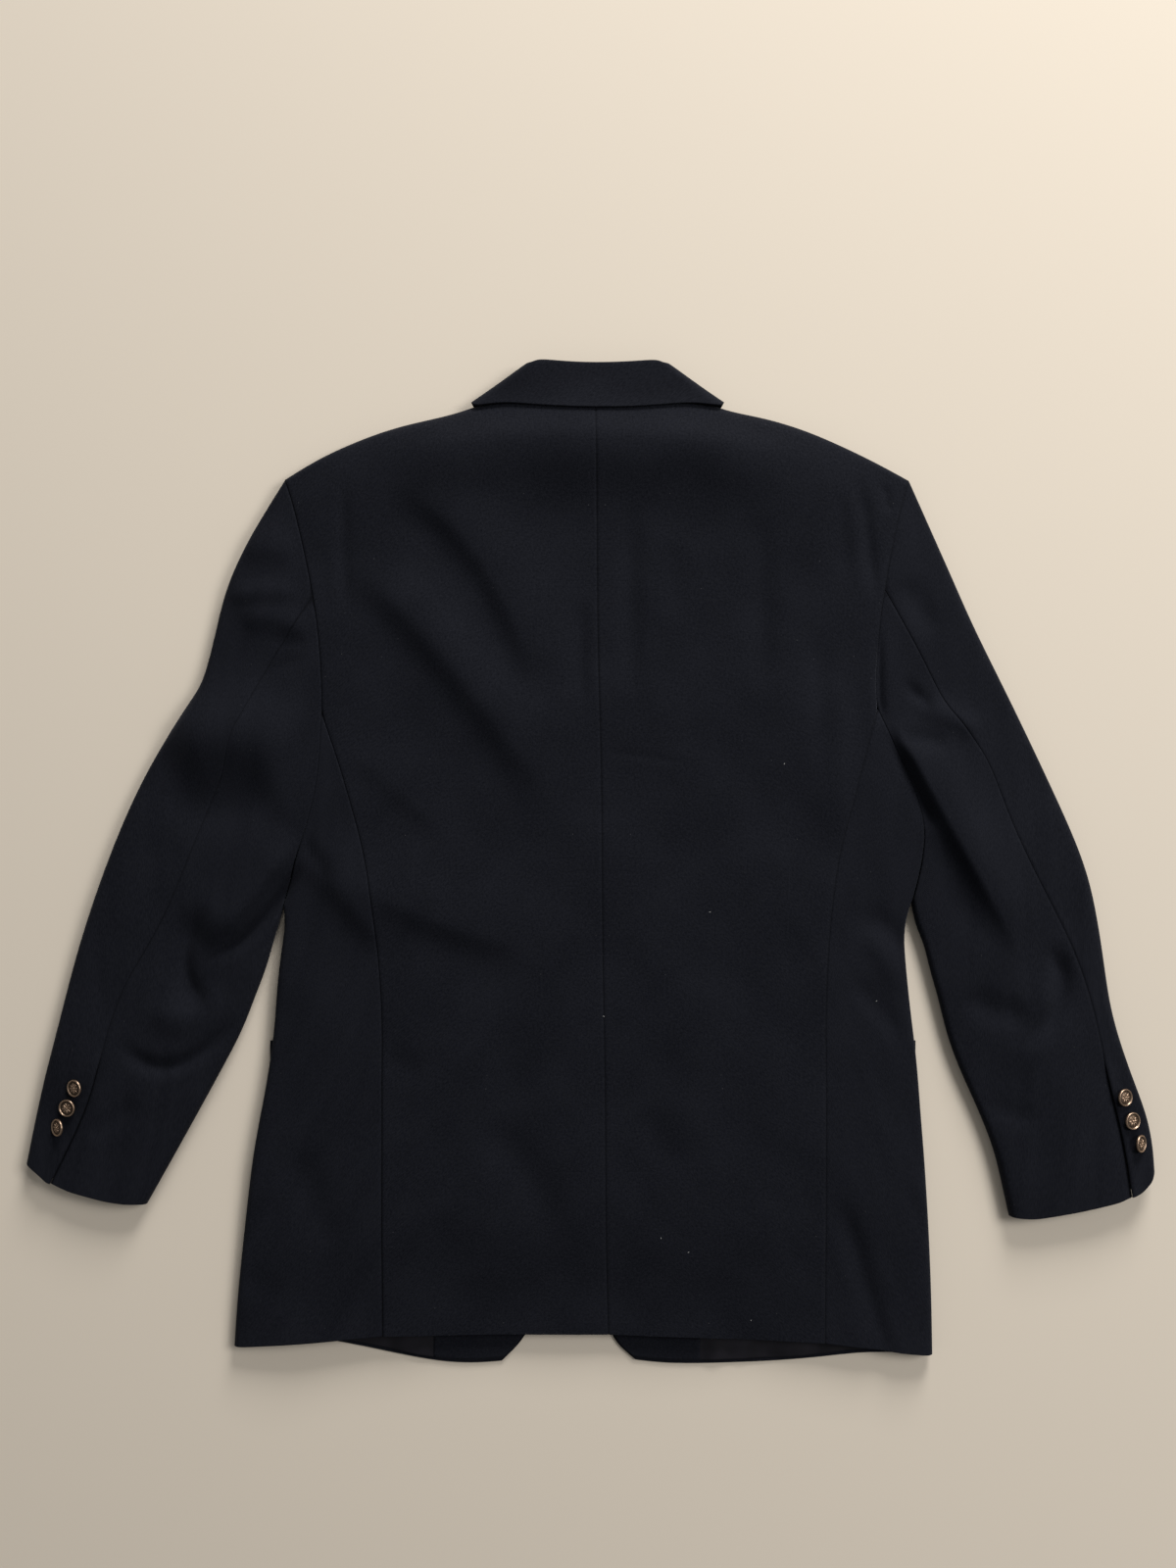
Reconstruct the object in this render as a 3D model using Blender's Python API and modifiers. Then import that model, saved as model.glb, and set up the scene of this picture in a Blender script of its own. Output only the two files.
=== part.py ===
"""A men's single-breasted blazer, laid flat on its front, so that its back shows.

The cloth lies in two layers. The back, the side panels and the tops of the sleeves
are the upper layer, whose height comes from upper_height. The fronts and the sleeves'
undersides are the lower layer, on the floor. At the side, sleeve and shoulder edges
the wall rolls from one layer to the other. Every table is in millimetres from the
part's origin: X runs to the wearer's right, Y to the collar and Z up from the floor.
"""

import math

import bmesh
import bpy
import numpy as np
from mathutils import Vector

MM = 0.001

# Walls and seams
WALL = 2.0
LINING_WALL = 1.0
SEAM_GAP = 0.3
SLOPE_CLEARANCE = 0.45

# Layers: mid-wall heights and the radius of a rolled edge
LOW = WALL / 2
ROLL = 6.0
EDGE = ROLL + WALL / 2
EDGE_TOP = LOW + 2 * ROLL
CROWN = 4.5
CROWN_REACH = 60.0
HEM_FALL = 2.0
HEM_FALL_REACH = 110.0

# Turned-back leaves under the fronts
LEAF_LIFT = 3.3
LEAF_FOLD = LEAF_LIFT / 2
LEAF_FOLD_GAP = 0.5
FULL_LIFT_REACH = 42.0
LIFT_RAMP = 35.0
LAP_LIFT = 5.9

# Cut
UNDER_SEAM_INSET = 35.0
UNDER_SEAM_SHARE = 0.78
UNDER_SEAM_START = 0.16
UNDER_SEAM_KNOTS = 8
INSEAM_SHARE = 0.88
HEM_TURN_UP = 3.0
STRIP_DEPTH = 66.0
STRIP_ROWS = 6
STRIP_COLUMNS = 5
FACING_END = 0.995

# Steps of each surface
ROLL_STEPS = 6
NECK_COLUMNS = 4
SHOULDER_COLUMNS = 8
OUTER_STEPS = 4
BACK_STEPS = 4
SIDE_STEPS = 5
FRONT_STEPS = 5
BODY_ROWS = 15
SLEEVE_ROWS = 16
NECK_ROWS = 2
LAPEL_ROWS = 8
LEAF_COLUMNS = 2
FLAP_COLUMNS = 4
ARMHOLE_SHARE_OF_BACK = 0.27
SPLINE_STEPS = 8
DIRECTION_REACH = 6.0
SECTION_REACH = 0.2

# How the armhole's shape dies away down the sleeve and the side
SLEEVE_FADE = 1.5
SLEEVE_FADE_OUTWARD = 0.35
SLEEVE_BOW = 10.0
SIDE_FADE = 0.6
UNDERARM_PARTING = 1.4
PARTING_START = 0.7
SHOULDER_TURN_POWER = 3
SHOULDER_PULL_POWER = 6

# Buttons
BUTTON_TURNS = 12
BUTTON_SEAT_REACH = 8.0

NAVY = (0.013, 0.015, 0.026, 1.0)
LINING_BLUE = (0.020, 0.019, 0.034, 1.0)
BRASS = (0.30, 0.22, 0.12, 1.0)

CENTRE_SEAM = [(4, 390), (5, 320), (6, 193), (9, 66), (10, -61), (12, -188), (13, -315), (15, -398)]

# Outline and seams of each half
HALVES = {
    "left": {
        "shoulder": [
            (-89, 386), (-98, 381.3), (-107, 378.8), (-135, 372), (-170, 364),
            (-215, 347), (-243, 331), (-257, 322),
        ],
        "armhole_back": [
            (-257, 322), (-249, 298), (-241, 264), (-234, 231), (-229, 198), (-226, 165),
            (-225, 132), (-226, 98), (-229, 65), (-236, 36), (-244, 13), (-252, -12), (-259, -40),
        ],
        "armhole_front": [
            (-257, 322), (-244, 281), (-226, 231), (-214, 181), (-211, 132), (-218, 82),
            (-233, 32), (-248, -10), (-259, -40),
        ],
        "side_edge": [
            (-259, -40), (-257.5, -52), (-260, -68), (-264, -101), (-267, -142), (-273, -184),
            (-285, -250), (-293, -317), (-298, -366), (-301, -408),
        ],
        "side_seam": [
            (-225, 123), (-208, 73), (-189, 2), (-180, -61), (-175, -125), (-175, -188),
            (-175, -252), (-175, -399),
        ],
        "neck": [(4, 390), (-44, 390.5), (-66, 389), (-86, 380)],
        "back_hem": [(15, -398), (-54, -398), (-139, -399), (-175, -399)],
        "front_hem": [
            (-266, -401), (-248, -402), (-205, -408), (-166, -416), (-130, -423),
            (-102, -425), (-75, -423),
        ],
        "front_neck": [(-86, 380), (-44, 327)],
        "roll_line": [(-41, 320), (-2, -43)],
        "front_edge": [
            (-2, -43), (-1, -151), (-4, -200), (-10, -250), (-20, -300), (-33, -350),
            (-45, -383), (-54, -398), (-61, -412), (-75, -423),
        ],
        "lapel_edge": [(-125, 298), (-110, 231), (-85, 148), (-48, 65), (-13, 2)],
        "lapel_share": 0.88,
        "facing_side": -133,
        "lining_side": -246,
        "flap": (-271, -125),
        "lifts": [
            [(-100, 390), (-112, 350), (-125, 298), (-85, 148), (-13, 2), (-2, -43), (-9, -151)],
        ],
    },
    "right": {
        "shoulder": [
            (97, 386), (106, 381.3), (115, 379), (139, 375), (179, 364),
            (219, 347), (250, 331), (268, 321),
        ],
        "armhole_back": [
            (268, 321), (262, 304), (255, 275), (249, 245), (244, 215), (241, 186), (239, 156),
            (240, 130), (253, 102), (268, 73), (278, 47), (282, 24), (278, -6), (270, -34),
        ],
        "armhole_front": [
            (268, 321), (254, 281), (237, 231), (225, 181), (224, 132), (232, 90), (251, 44),
            (265, 2), (270, -34),
        ],
        "side_edge": [
            (270, -34), (266, -46), (264.5, -62), (265.5, -80), (269, -117), (275, -167), (279, -217),
            (283, -267), (286, -317), (288, -366), (289, -415),
        ],
        "side_seam": [
            (240, 127), (224, 66), (208, 2), (200, -61), (197, -125), (197, -188),
            (197, -315), (197, -405),
        ],
        "neck": [(4, 390), (52, 390.5), (74, 389), (94, 380)],
        "back_hem": [(15, -398), (93, -401), (197, -405)],
        "front_hem": [
            (254, -415), (224, -416), (192, -420), (152, -423), (98, -425), (64, -425), (38, -422),
        ],
        "front_neck": [(94, 380), (52, 327)],
        "roll_line": [(49, 320), (-15, -43)],
        "front_edge": [
            (-15, -43), (-16, -151), (-15, -200), (-10, -250), (-4, -300), (5, -350),
            (10, -379), (16, -398), (23, -411), (38, -422),
        ],
        "lapel_edge": [(133, 298), (118, 231), (93, 148), (52, 85), (8, 47)],
        "lapel_share": 0.76,
        "facing_side": 93,
        "lining_side": 236,
        "flap": (275, 130),
        "lifts": [
            [(108, 390), (120, 350), (133, 298), (93, 148), (8, 47), (49, 320)],
        ],
    },
}

# Sleeve sections from shoulder to cuff: outer x, y, inner x, y, elbow seam's share from outer
SLEEVES = {
    "left": [
        (-257, 322, -259, -40, 0.27),
        (-301, 249, -261.5, -51, 0.25),
        (-318, 190, -265, -62, 0.24),
        (-342, 130, -269, -76, 0.30),
        (-371, 82, -274, -93, 0.385),
        (-395, 32, -283, -116, 0.42),
        (-417, -26, -293, -142, 0.37),
        (-435, -83, -308, -171, 0.30),
        (-450, -142, -326, -204, 0.30),
        (-464, -196, -347, -242, 0.29),
        (-477, -259, -373, -288, 0.20),
    ],
    "right": [
        (268, 321, 270, -34, 0.25),
        (301, 248, 271.5, -44, 0.26),
        (323, 198, 274.5, -56, 0.28),
        (351, 142, 279, -72, 0.25),
        (376, 90, 283, -93, 0.27),
        (401, 36, 289, -117, 0.26),
        (420, -12, 295, -146, 0.22),
        (431, -68, 305, -176, 0.14),
        (439, -126, 319, -209, 0.08),
        (455, -178, 333, -242, 0.12),
        (477, -268, 348, -298, 0.14),
    ],
}

# Cuff hems bow away from the sleeve's last section: share from outer, bow
CUFF_BOWS = {
    "left": [(0.0, 0.0), (0.1, 7.0), (0.3, 10.0), (0.6, 10.0), (0.9, 4.0), (1.0, 0.0)],
    "right": [(0.0, 0.0), (0.1, 13.0), (0.3, 15.0), (0.6, 12.5), (0.87, 8.0), (1.0, 0.0)],
}

# Broad folds of the upper layer: start, bend and end, width left and right of that
# direction, height, where a valley is below zero
FOLDS = [
    ((-185, 339), (4, 357), (197, 343), 30, 60, 3.5),
    ((-138, 308), (-81, 231), (-45, 119), 30, 16, 3.0),
    ((-191, 244), (-135, 168), (-30, 32), 30, 16, 3.5),
    ((-246, 10), (-188, -55), (-48, -73), 28, 18, 3.0),
    ((220, -59), (245, -43), (264, -88), 14, 14, -2.0),
    ((220, -80), (243, -76), (256, -115), 14, 16, 2.0),
    ((219, -288), (230, -342), (242, -400), 16, 16, -2.0),
    ((-251, -242), (-236, -283), (-213, -329), 18, 18, -2.0),
    ((-208, 322), (-212, 264), (-210, 206), 15, 15, -1.5),
    ((224, 322), (235, 264), (234, 198), 14, 14, -2.0),
    ((-251, 119), (-309, 105), (-363, 73), 26, 26, 5.0),
    ((-255, 36), (-317, 24), (-384, 24), 20, 20, -3.0),
    ((-244, 27), (-283, -31), (-324, -65), 15, 17, 7.0),
    ((-329, -43), (-342, -88), (-317, -134), 15, 15, -2.5),
    ((-293, 241), (-272, 249), (-249, 241), 12, 12, -1.5),
    ((-303, 213), (-274, 216), (-243, 213), 12, 12, -1.5),
    ((272, 114), (305, 48), (363, -82), 14, 13, 5.5),
    ((276, 125), (300, 119), (325, 107), 14, 14, 2.5),
    ((404, -88), (411, -134), (375, -196), 16, 16, -2.5),
    ((317, -109), (340, -124), (363, -122), 16, 16, -2.0),
]
FOLD_STEPS = 14
FOLD_END_FADE = 0.3

# Shoulder pads: centre, reach along X and Y, height
PADS = [(-212, 300, 48, 38, 4.5), (222, 300, 48, 38, 4.5)]

# Where the right front lies on the left one
LAP_ZONE = [(-16, 12), (2, 12), (2, -255), (-14, -255)]
FLAP_TOP = -152
FLAP_FOOT = -200

# Collar: centre line X, and stations from there to its end under the left front, with
# the neck seam, roll line and free edge; the right half is the same, mirrored
COLLAR_CENTRE = 4.0
COLLAR_TOP = [
    ((4, 391.5), (4, 422), (5, 384)),
    ((-18, 391.5), (-18, 422), (-20, 384.5)),
    ((-38, 392), (-34, 422), (-48, 385.5)),
    ((-62, 392), (-44, 421.5), (-72, 387)),
]
COLLAR_SIDE = ((-94, 393), (-54, 421), (-99, 385.5))
COLLAR_UNDER = [
    ((-81, 374.5), (-49, 402), (-104, 368)),
    ((-73, 365), (-46, 382), (-109, 352)),
    ((-61, 350), (-43, 360), (-111, 336)),
    ((-52, 338.5), (-40, 343), (-107, 322)),
    ((-46, 331), (-38, 326), (-93, 312)),
]
COLLAR_ROLL_AT_ROLL_LINE = 2.5
COLLAR_ROLL_AT_EDGE = 6.0
COLLAR_EDGE_LIFT = 2.8
COLLAR_TURN_POWER = 0.7
STAND_STEPS = 2
LEAF_FOLD_STEPS = 4
FALL_STEPS = 3

CUFF_BUTTONS = {
    "left": [(-436, -192), (-443, -210), (-450, -227)],
    "right": [(453, -200), (460, -220), (466, -239)],
}
FRONT_BUTTONS = [(-9, -60), (-9, -151)]

# Turned sections of the buttons, top to bottom: radius and height
CUFF_BUTTON_PROFILE = [
    (0.0, 4.4), (4.5, 3.8), (6.6, 3.4), (7.5, 2.6), (6.8, 1.4), (2.2, 1.2), (2.2, 0.0), (0.0, 0.0),
]
FRONT_BUTTON_PROFILE = [
    (0.0, 3.0), (2.5, 3.0), (2.5, 2.4), (9.4, 2.2), (10.0, 1.2), (9.4, 0.0), (0.0, 0.0),
]


def clear_scene():
    for thing in list(bpy.data.objects):
        bpy.data.objects.remove(thing, do_unlink=True)


def smooth_step(value):
    share = min(max(value, 0.0), 1.0)
    return share * share * (3.0 - 2.0 * share)


def unit(vector):
    return vector / np.linalg.norm(vector)


def mix(first, second, share):
    return np.asarray(first, float) * (1.0 - share) + np.asarray(second, float) * share


def spline_dots(knots):
    """Dots along a Catmull-Rom spline through the knots."""
    knots = np.array(knots, float)
    ends = np.vstack([2 * knots[0] - knots[1], knots, 2 * knots[-1] - knots[-2]])
    dots = []
    for index in range(len(knots) - 1):
        before, start, end, after = ends[index:index + 4]
        for step in range(SPLINE_STEPS):
            t = step / SPLINE_STEPS
            dots.append(0.5 * (
                2 * start
                + (end - before) * t
                + (2 * before - 5 * start + 4 * end - after) * t ** 2
                + (3 * start - before - 3 * end + after) * t ** 3
            ))
    dots.append(knots[-1])
    return np.array(dots)


class Path:
    """A smooth line through a table's points, read at shares of its length."""

    def __init__(self, knots):
        self.dots = spline_dots(knots)
        steps = np.linalg.norm(np.diff(self.dots, axis=0), axis=1)
        self.length = steps.sum()
        self.shares = np.concatenate([[0.0], np.cumsum(steps)]) / self.length

    def at(self, share):
        return np.array([np.interp(share, self.shares, column) for column in self.dots.T])

    def along(self, shares):
        return [self.at(share) for share in shares]

    def direction(self, share):
        step = DIRECTION_REACH / self.length
        return unit(self.at(min(share + step, 1.0)) - self.at(max(share - step, 0.0)))

    def share_near(self, point):
        distances = np.linalg.norm(self.dots - np.array(point, float), axis=1)
        return float(self.shares[distances.argmin()])

    def share_at_x(self, x):
        return float(self.shares[np.abs(self.dots[:, 0] - x).argmin()])

    def within(self, share):
        """The point at a share of the stretch between the rolled edges at both ends."""
        margin = EDGE / self.length
        return self.at(margin + share * (1.0 - 2.0 * margin))


def table_row(table, position):
    """A row of a table read between its rows, along a spline."""
    dots = spline_dots(table)
    steps = np.linspace(0.0, len(table) - 1.0, len(dots))
    return np.array([np.interp(position, steps, column) for column in dots.T])


ROLLED_EDGES = np.vstack(
    [Path(half[name]).dots for half in HALVES.values() for name in ("shoulder", "side_edge")]
    + [spline_dots([row[0:2] for row in rows]) for rows in SLEEVES.values()]
    + [spline_dots([row[2:4] for row in rows]) for rows in SLEEVES.values()]
)
HEM_Y = HALVES["left"]["back_hem"][0][1]


def fold_dots(start, bend, end):
    """Dots along a fold's crest, a quadratic curve drawn through its bend."""
    start, bend, end = (np.array(point, float) for point in (start, bend, end))
    pull = 2 * bend - (start + end) / 2
    shares = np.linspace(0.0, 1.0, FOLD_STEPS)[:, None]
    return (1 - shares) ** 2 * start + 2 * shares * (1 - shares) * pull + shares ** 2 * end


FOLD_CRESTS = np.array([fold_dots(*fold[0:3]) for fold in FOLDS])
FOLD_DIRECTIONS = np.gradient(FOLD_CRESTS, axis=1)
FOLD_WIDTHS = np.array([fold[3:5] for fold in FOLDS], float)
FOLD_HEIGHTS = np.array([fold[5] for fold in FOLDS], float)


def fold_height(point):
    """The height that all folds together give the upper layer at a point."""
    offsets = point - FOLD_CRESTS
    distances = np.linalg.norm(offsets, axis=2)
    nearest = distances.argmin(axis=1)
    rows = np.arange(len(FOLDS))
    away = offsets[rows, nearest]
    ahead = FOLD_DIRECTIONS[rows, nearest]
    left = ahead[:, 0] * away[:, 1] - ahead[:, 1] * away[:, 0] > 0
    widths = np.where(left, FOLD_WIDTHS[:, 0], FOLD_WIDTHS[:, 1])
    shares = nearest / (FOLD_STEPS - 1)
    ends = np.clip(np.minimum(shares, 1 - shares) / FOLD_END_FADE, 0.0, 1.0)
    ends = ends * ends * (3 - 2 * ends)
    return float((FOLD_HEIGHTS * ends * np.exp(-(distances[rows, nearest] / widths) ** 2)).sum())


def upper_height(point):
    """Mid-wall height of the upper layer: a crown inside the rolled edges, pads and folds."""
    point = np.asarray(point, float)
    inside = np.linalg.norm(ROLLED_EDGES - point, axis=1).min() - EDGE
    crown = CROWN * (1.0 - math.exp(-max(inside, 0.0) / CROWN_REACH))
    hem = HEM_FALL * (1.0 - smooth_step((point[1] - HEM_Y) / HEM_FALL_REACH))
    pads = 0.0
    for x, y, reach_x, reach_y, height in PADS:
        pads += height * math.exp(-((point[0] - x) / reach_x) ** 2 - ((point[1] - y) / reach_y) ** 2)
    return EDGE_TOP + crown - hem + pads + fold_height(point)


def distance_to_outline(point, corners):
    """Distance from a point to an outline's area, zero inside it."""
    corners = np.array(corners, float)
    inside = False
    nearest = math.inf
    for start, end in zip(corners, np.roll(corners, -1, axis=0)):
        if (start[1] > point[1]) != (end[1] > point[1]):
            crossing = start[0] + (end[0] - start[0]) * (point[1] - start[1]) / (end[1] - start[1])
            inside = inside != (point[0] < crossing)
        side = end - start
        share = np.clip(np.dot(point - start, side) / np.dot(side, side), 0.0, 1.0)
        nearest = min(nearest, float(np.linalg.norm(start + side * share - point)))
    return 0.0 if inside else nearest


def flap_outline(half):
    outer, inner = HALVES[half]["flap"]
    return [(outer, FLAP_TOP), (outer, FLAP_FOOT), (inner, FLAP_FOOT), (inner, FLAP_TOP)]


def lift_share(point, outline):
    reach = distance_to_outline(point, outline)
    return 1.0 - smooth_step((reach - FULL_LIFT_REACH) / LIFT_RAMP)


def lower_height(half, point):
    """Mid-wall height of a front or side panel where it lies over leaves and flaps."""
    point = np.asarray(point, float)
    outlines = HALVES[half]["lifts"] + [flap_outline(half)]
    lift = LEAF_LIFT * max(lift_share(point, outline) for outline in outlines)
    if half == "right":
        lift = max(lift, LAP_LIFT * lift_share(point, LAP_ZONE))
    return LOW + lift


def raised(point, height):
    return np.array([point[0], point[1], height])


def rolled(base, out, reach, top, foot, angle):
    """A point on an edge rolled from the upper layer (angle 0) to the lower (angle 180)."""
    turn = math.radians(angle)
    middle = (top + foot) / 2
    side = base + out * reach * math.sin(turn)
    return raised(side, middle + (top - foot) / 2 * math.cos(turn))


ROLL_ANGLES = [180.0 * step / ROLL_STEPS for step in range(1, ROLL_STEPS)]


class Half:
    """The seams and edges of one half of the body, as paths."""

    def __init__(self, name):
        table = HALVES[name]
        self.name = name
        self.sign = -1.0 if name == "left" else 1.0
        self.shoulder = Path(table["shoulder"])
        self.armhole_back = Path(table["armhole_back"])
        self.armhole_front = Path(table["armhole_front"])
        self.side_edge = Path(table["side_edge"])
        self.elbow_share = SLEEVES[name][0][4]
        margin = EDGE / self.armhole_back.length
        meeting = self.armhole_back.share_near(table["side_seam"][0])
        self.side_share = (meeting - margin) / (1 - 2 * margin)
        self.side_seam = Path([self.armhole_back.within(self.side_share)] + table["side_seam"][1:])
        edge_shares = np.linspace(UNDER_SEAM_START, 1.0, UNDER_SEAM_KNOTS)
        inset = [
            self.side_edge.at(share) + self.inward(share) * UNDER_SEAM_INSET for share in edge_shares
        ]
        self.under_seam = Path([self.armhole_point("lower", UNDER_SEAM_SHARE)[0:2]] + inset)
        self.upper_shares = np.concatenate([
            np.linspace(0.0, self.elbow_share, OUTER_STEPS + 1)[:-1],
            np.linspace(self.elbow_share, self.side_share, BACK_STEPS + 1)[:-1],
            np.linspace(self.side_share, 1.0, SIDE_STEPS + 1),
        ])
        self.lower_shares = np.concatenate([
            np.linspace(0.0, UNDER_SEAM_SHARE, FRONT_STEPS + 1),
            [INSEAM_SHARE, 1.0],
        ])

    def inward(self, share):
        ahead = self.side_edge.direction(share)
        across = np.array([-ahead[1], ahead[0]])
        return across if across[0] * self.sign < 0 else -across

    def side_lines(self, share):
        """The side panel's seams and edge at a share of its length, and the way in."""
        seam, edge, under = (line.at(share) for line in (self.side_seam, self.side_edge, self.under_seam))
        return seam, edge, self.inward(share), under

    def armhole_point(self, part, value, piece="body"):
        """A point of the armhole's seam, all round: upper, under arm, lower, shoulder.

        Under the arm the sleeve and the body hang side by side, so they are parted there.
        """
        away = self.sign if piece == "sleeve" else -self.sign
        nearing = smooth_step((value - PARTING_START) / (1.0 - PARTING_START))
        share = {"inner": 1.0, "outer": 0.0}.get(part, nearing)
        parting = np.array([away * UNDERARM_PARTING * share, 0.0])
        if part == "upper":
            point = self.armhole_back.within(value) + parting
            return raised(point, upper_height(point))
        if part == "lower":
            point = self.armhole_front.within(value) + parting
            return raised(point, lower_height(self.name, point))
        end = 0.0 if part == "outer" else 1.0
        above = self.armhole_back.within(end)
        below = self.armhole_front.within(end)
        out = unit(self.armhole_back.direction(end) + self.armhole_front.direction(end))
        out = -out if part == "outer" else out
        base = mix(above, below, value / 180.0) + parting
        return rolled(base, out, ROLL, upper_height(above), lower_height(self.name, below), value)


class SleeveSection:
    """A sleeve's edges at a place between its table's rows, and its points all round."""

    def __init__(self, half_name, position):
        table = SLEEVES[half_name]
        here = table_row(table, position)
        ahead = table_row(table, position + SECTION_REACH) - table_row(table, position - SECTION_REACH)
        self.outer = here[0:2]
        self.inner = here[2:4]
        self.elbow = here[4]
        self.outer_way = self.way_out(ahead[0:2], self.outer - self.inner)
        self.inner_way = self.way_out(ahead[2:4], self.inner - self.outer)
        self.along = self.way_out(self.inner - self.outer, np.array([0.0, -1.0]))

    @staticmethod
    def way_out(line, away):
        square = unit(np.array([-line[1], line[0]]))
        return square if np.dot(square, away) > 0 else -square

    def point(self, part, value):
        outer_base = self.outer - self.outer_way * EDGE
        inner_base = self.inner - self.inner_way * EDGE
        if part == "outer":
            return rolled(outer_base, self.outer_way, ROLL, upper_height(outer_base), LOW, value)
        if part == "inner":
            return rolled(inner_base, self.inner_way, ROLL, upper_height(inner_base), LOW, value)
        place = mix(outer_base, inner_base, value)
        return raised(place, upper_height(place) if part == "upper" else LOW)

    def share_across(self, point):
        across = self.inner - self.outer
        return np.dot(point[0:2] - self.outer, across) / np.dot(across, across)


def sleeve_rings(half, stations):
    """Rows of points round a sleeve, from the armhole to the cuff."""
    last_row = len(SLEEVES[half.name]) - 1
    bows = np.array(CUFF_BOWS[half.name])
    first = SleeveSection(half.name, 0.0)

    def moved_share(part, value, elbow):
        if part != "upper":
            return value
        if value <= half.elbow_share:
            return value * elbow / half.elbow_share
        return elbow + (1.0 - elbow) * (value - half.elbow_share) / (1.0 - half.elbow_share)

    rows = [[half.armhole_point(part, value, "sleeve") for part, value in stations]]
    for step in range(1, SLEEVE_ROWS + 1):
        position = step * last_row / SLEEVE_ROWS
        section = SleeveSection(half.name, position)
        cuff = smooth_step(position - (last_row - 1))
        row = []
        for part, value in stations:
            point = section.point(part, moved_share(part, value, section.elbow))
            bulge = half.armhole_point(part, value, "sleeve") - first.point(part, value)
            rate = SLEEVE_FADE_OUTWARD if bulge[0] * half.sign > 0 else SLEEVE_FADE
            point += math.exp(-rate * position) * bulge
            if part in ("upper", "lower"):
                bow = SLEEVE_BOW * math.sin(math.pi * value) * position * math.exp(1.0 - position)
                point[0] += half.sign * bow
            bow = cuff * np.interp(section.share_across(point), bows[:, 0], bows[:, 1])
            point[0:2] += section.along * bow
            if part == "upper":
                point[2] = upper_height(point[0:2])
            row.append(point)
        rows.append(row)
    return rows


def side_rows(half):
    """Rows round a side edge, from the armhole to the hem."""
    stations = [("upper", share) for share in half.upper_shares[OUTER_STEPS + BACK_STEPS:]]
    stations += [("inner", angle) for angle in ROLL_ANGLES]
    stations += [("lower", share) for share in half.lower_shares[:FRONT_STEPS - 1:-1]]

    def across_row(seam, edge, inward, under, part, value):
        base = edge + inward * EDGE
        if part == "upper":
            share = (value - half.side_share) / (1.0 - half.side_share)
            point = mix(seam, base, share)
            return raised(point, upper_height(point))
        if part == "lower":
            share = (value - UNDER_SEAM_SHARE) / (1.0 - UNDER_SEAM_SHARE)
            point = mix(under, base, share)
            return raised(point, lower_height(half.name, point))
        return rolled(base, -inward, ROLL, upper_height(base), lower_height(half.name, base), value)

    rows = []
    first = half.side_lines(0.0)
    for step in range(BODY_ROWS + 1):
        share = step / BODY_ROWS
        lines = half.side_lines(share)
        fade = math.exp(-SIDE_FADE * step)
        row = []
        for part, value in stations:
            loop = half.armhole_point(part, value)
            point = across_row(*lines, part, value)
            point += fade * (loop - across_row(*first, part, value))
            if part == "upper":
                point[2] = upper_height(point[0:2])
            row.append(point if step else loop)
        rows.append(row)
    return rows


def patch(top, foot, first, last, across, down):
    """Points that fill a four-sided outline; top and foot run across, the others down."""
    rows = []
    for i, v in enumerate(down):
        row = []
        for j, u in enumerate(across):
            edges = (1 - v) * top[j] + v * foot[j] + (1 - u) * first[i] + u * last[i]
            top_corners = (1 - u) * top[0] + u * top[-1]
            foot_corners = (1 - u) * foot[0] + u * foot[-1]
            row.append(edges - (1 - v) * top_corners - v * foot_corners)
        rows.append(row)
    return rows


def shoulder_bases(half, steps):
    """Where the rolled shoulder edge starts, and its way out, at each column."""
    tip = half.armhole_back.within(0.0)
    tip_out = -half.armhole_back.direction(0.0)
    neck = np.array(HALVES[half.name]["neck"][-1], float)
    bases = []
    for step in range(steps + 1):
        share = step / steps
        ahead = half.shoulder.direction(share)
        out = np.array([-ahead[1], ahead[0]])
        out = out if out[1] > 0 else -out
        out = unit(mix(out, tip_out, share ** SHOULDER_TURN_POWER))
        base = half.shoulder.at(share) - out * EDGE
        drawn_to_neck = neck - half.shoulder.at(0.0) + out * EDGE
        base = base + (1 - share) ** SHOULDER_PULL_POWER * drawn_to_neck
        base = base + share ** SHOULDER_PULL_POWER * (tip - base)
        bases.append((base, out))
    return bases


def back_rows(half):
    """Rows of a back from its neck and shoulder to its hem, columns from the centre out."""
    neck = Path(HALVES[half.name]["neck"])
    hem = Path(HALVES[half.name]["back_hem"])
    centre = Path(CENTRE_SEAM)
    bases = shoulder_bases(half, SHOULDER_COLUMNS)
    neck_points = neck.along(np.linspace(0, 1, NECK_COLUMNS + 1)[:-1])
    drop = ROLL * math.pi / 2
    top = [point - np.array([0.0, drop]) for point in neck_points] + [base for base, out in bases]
    columns = len(top)
    across = np.linspace(0, 1, columns)
    steps_down = OUTER_STEPS + BACK_STEPS
    last = [half.armhole_point("upper", share)[0:2] for share in half.upper_shares[:steps_down + 1]]
    last += half.side_seam.along(np.linspace(0, 1, BODY_ROWS + 1)[1:])
    down = [ARMHOLE_SHARE_OF_BACK * step / steps_down for step in range(steps_down)]
    down += list(np.linspace(ARMHOLE_SHARE_OF_BACK, 1, BODY_ROWS + 1))
    first_share = drop / centre.length
    first = [centre.at(first_share + (1 - first_share) * share) for share in down]
    top[0] = first[0]
    flat = patch(top, hem.along(across), first, last, across, down)
    rows = [[raised(point, upper_height(point)) for point in row] for row in flat]
    rolls = []
    for angle in (90.0, 60.0, 30.0):
        row = []
        for point, start in zip(neck_points, top):
            place = mix(start, point, angle / 90.0)
            row.append(raised(place, upper_height(place)))
        for base, out in bases:
            row.append(rolled(base, out, ROLL, upper_height(base), lower_height(half.name, base), angle))
        row[-1] = half.armhole_point("outer", angle)
        rolls.append(row)
    return rolls + rows


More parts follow.
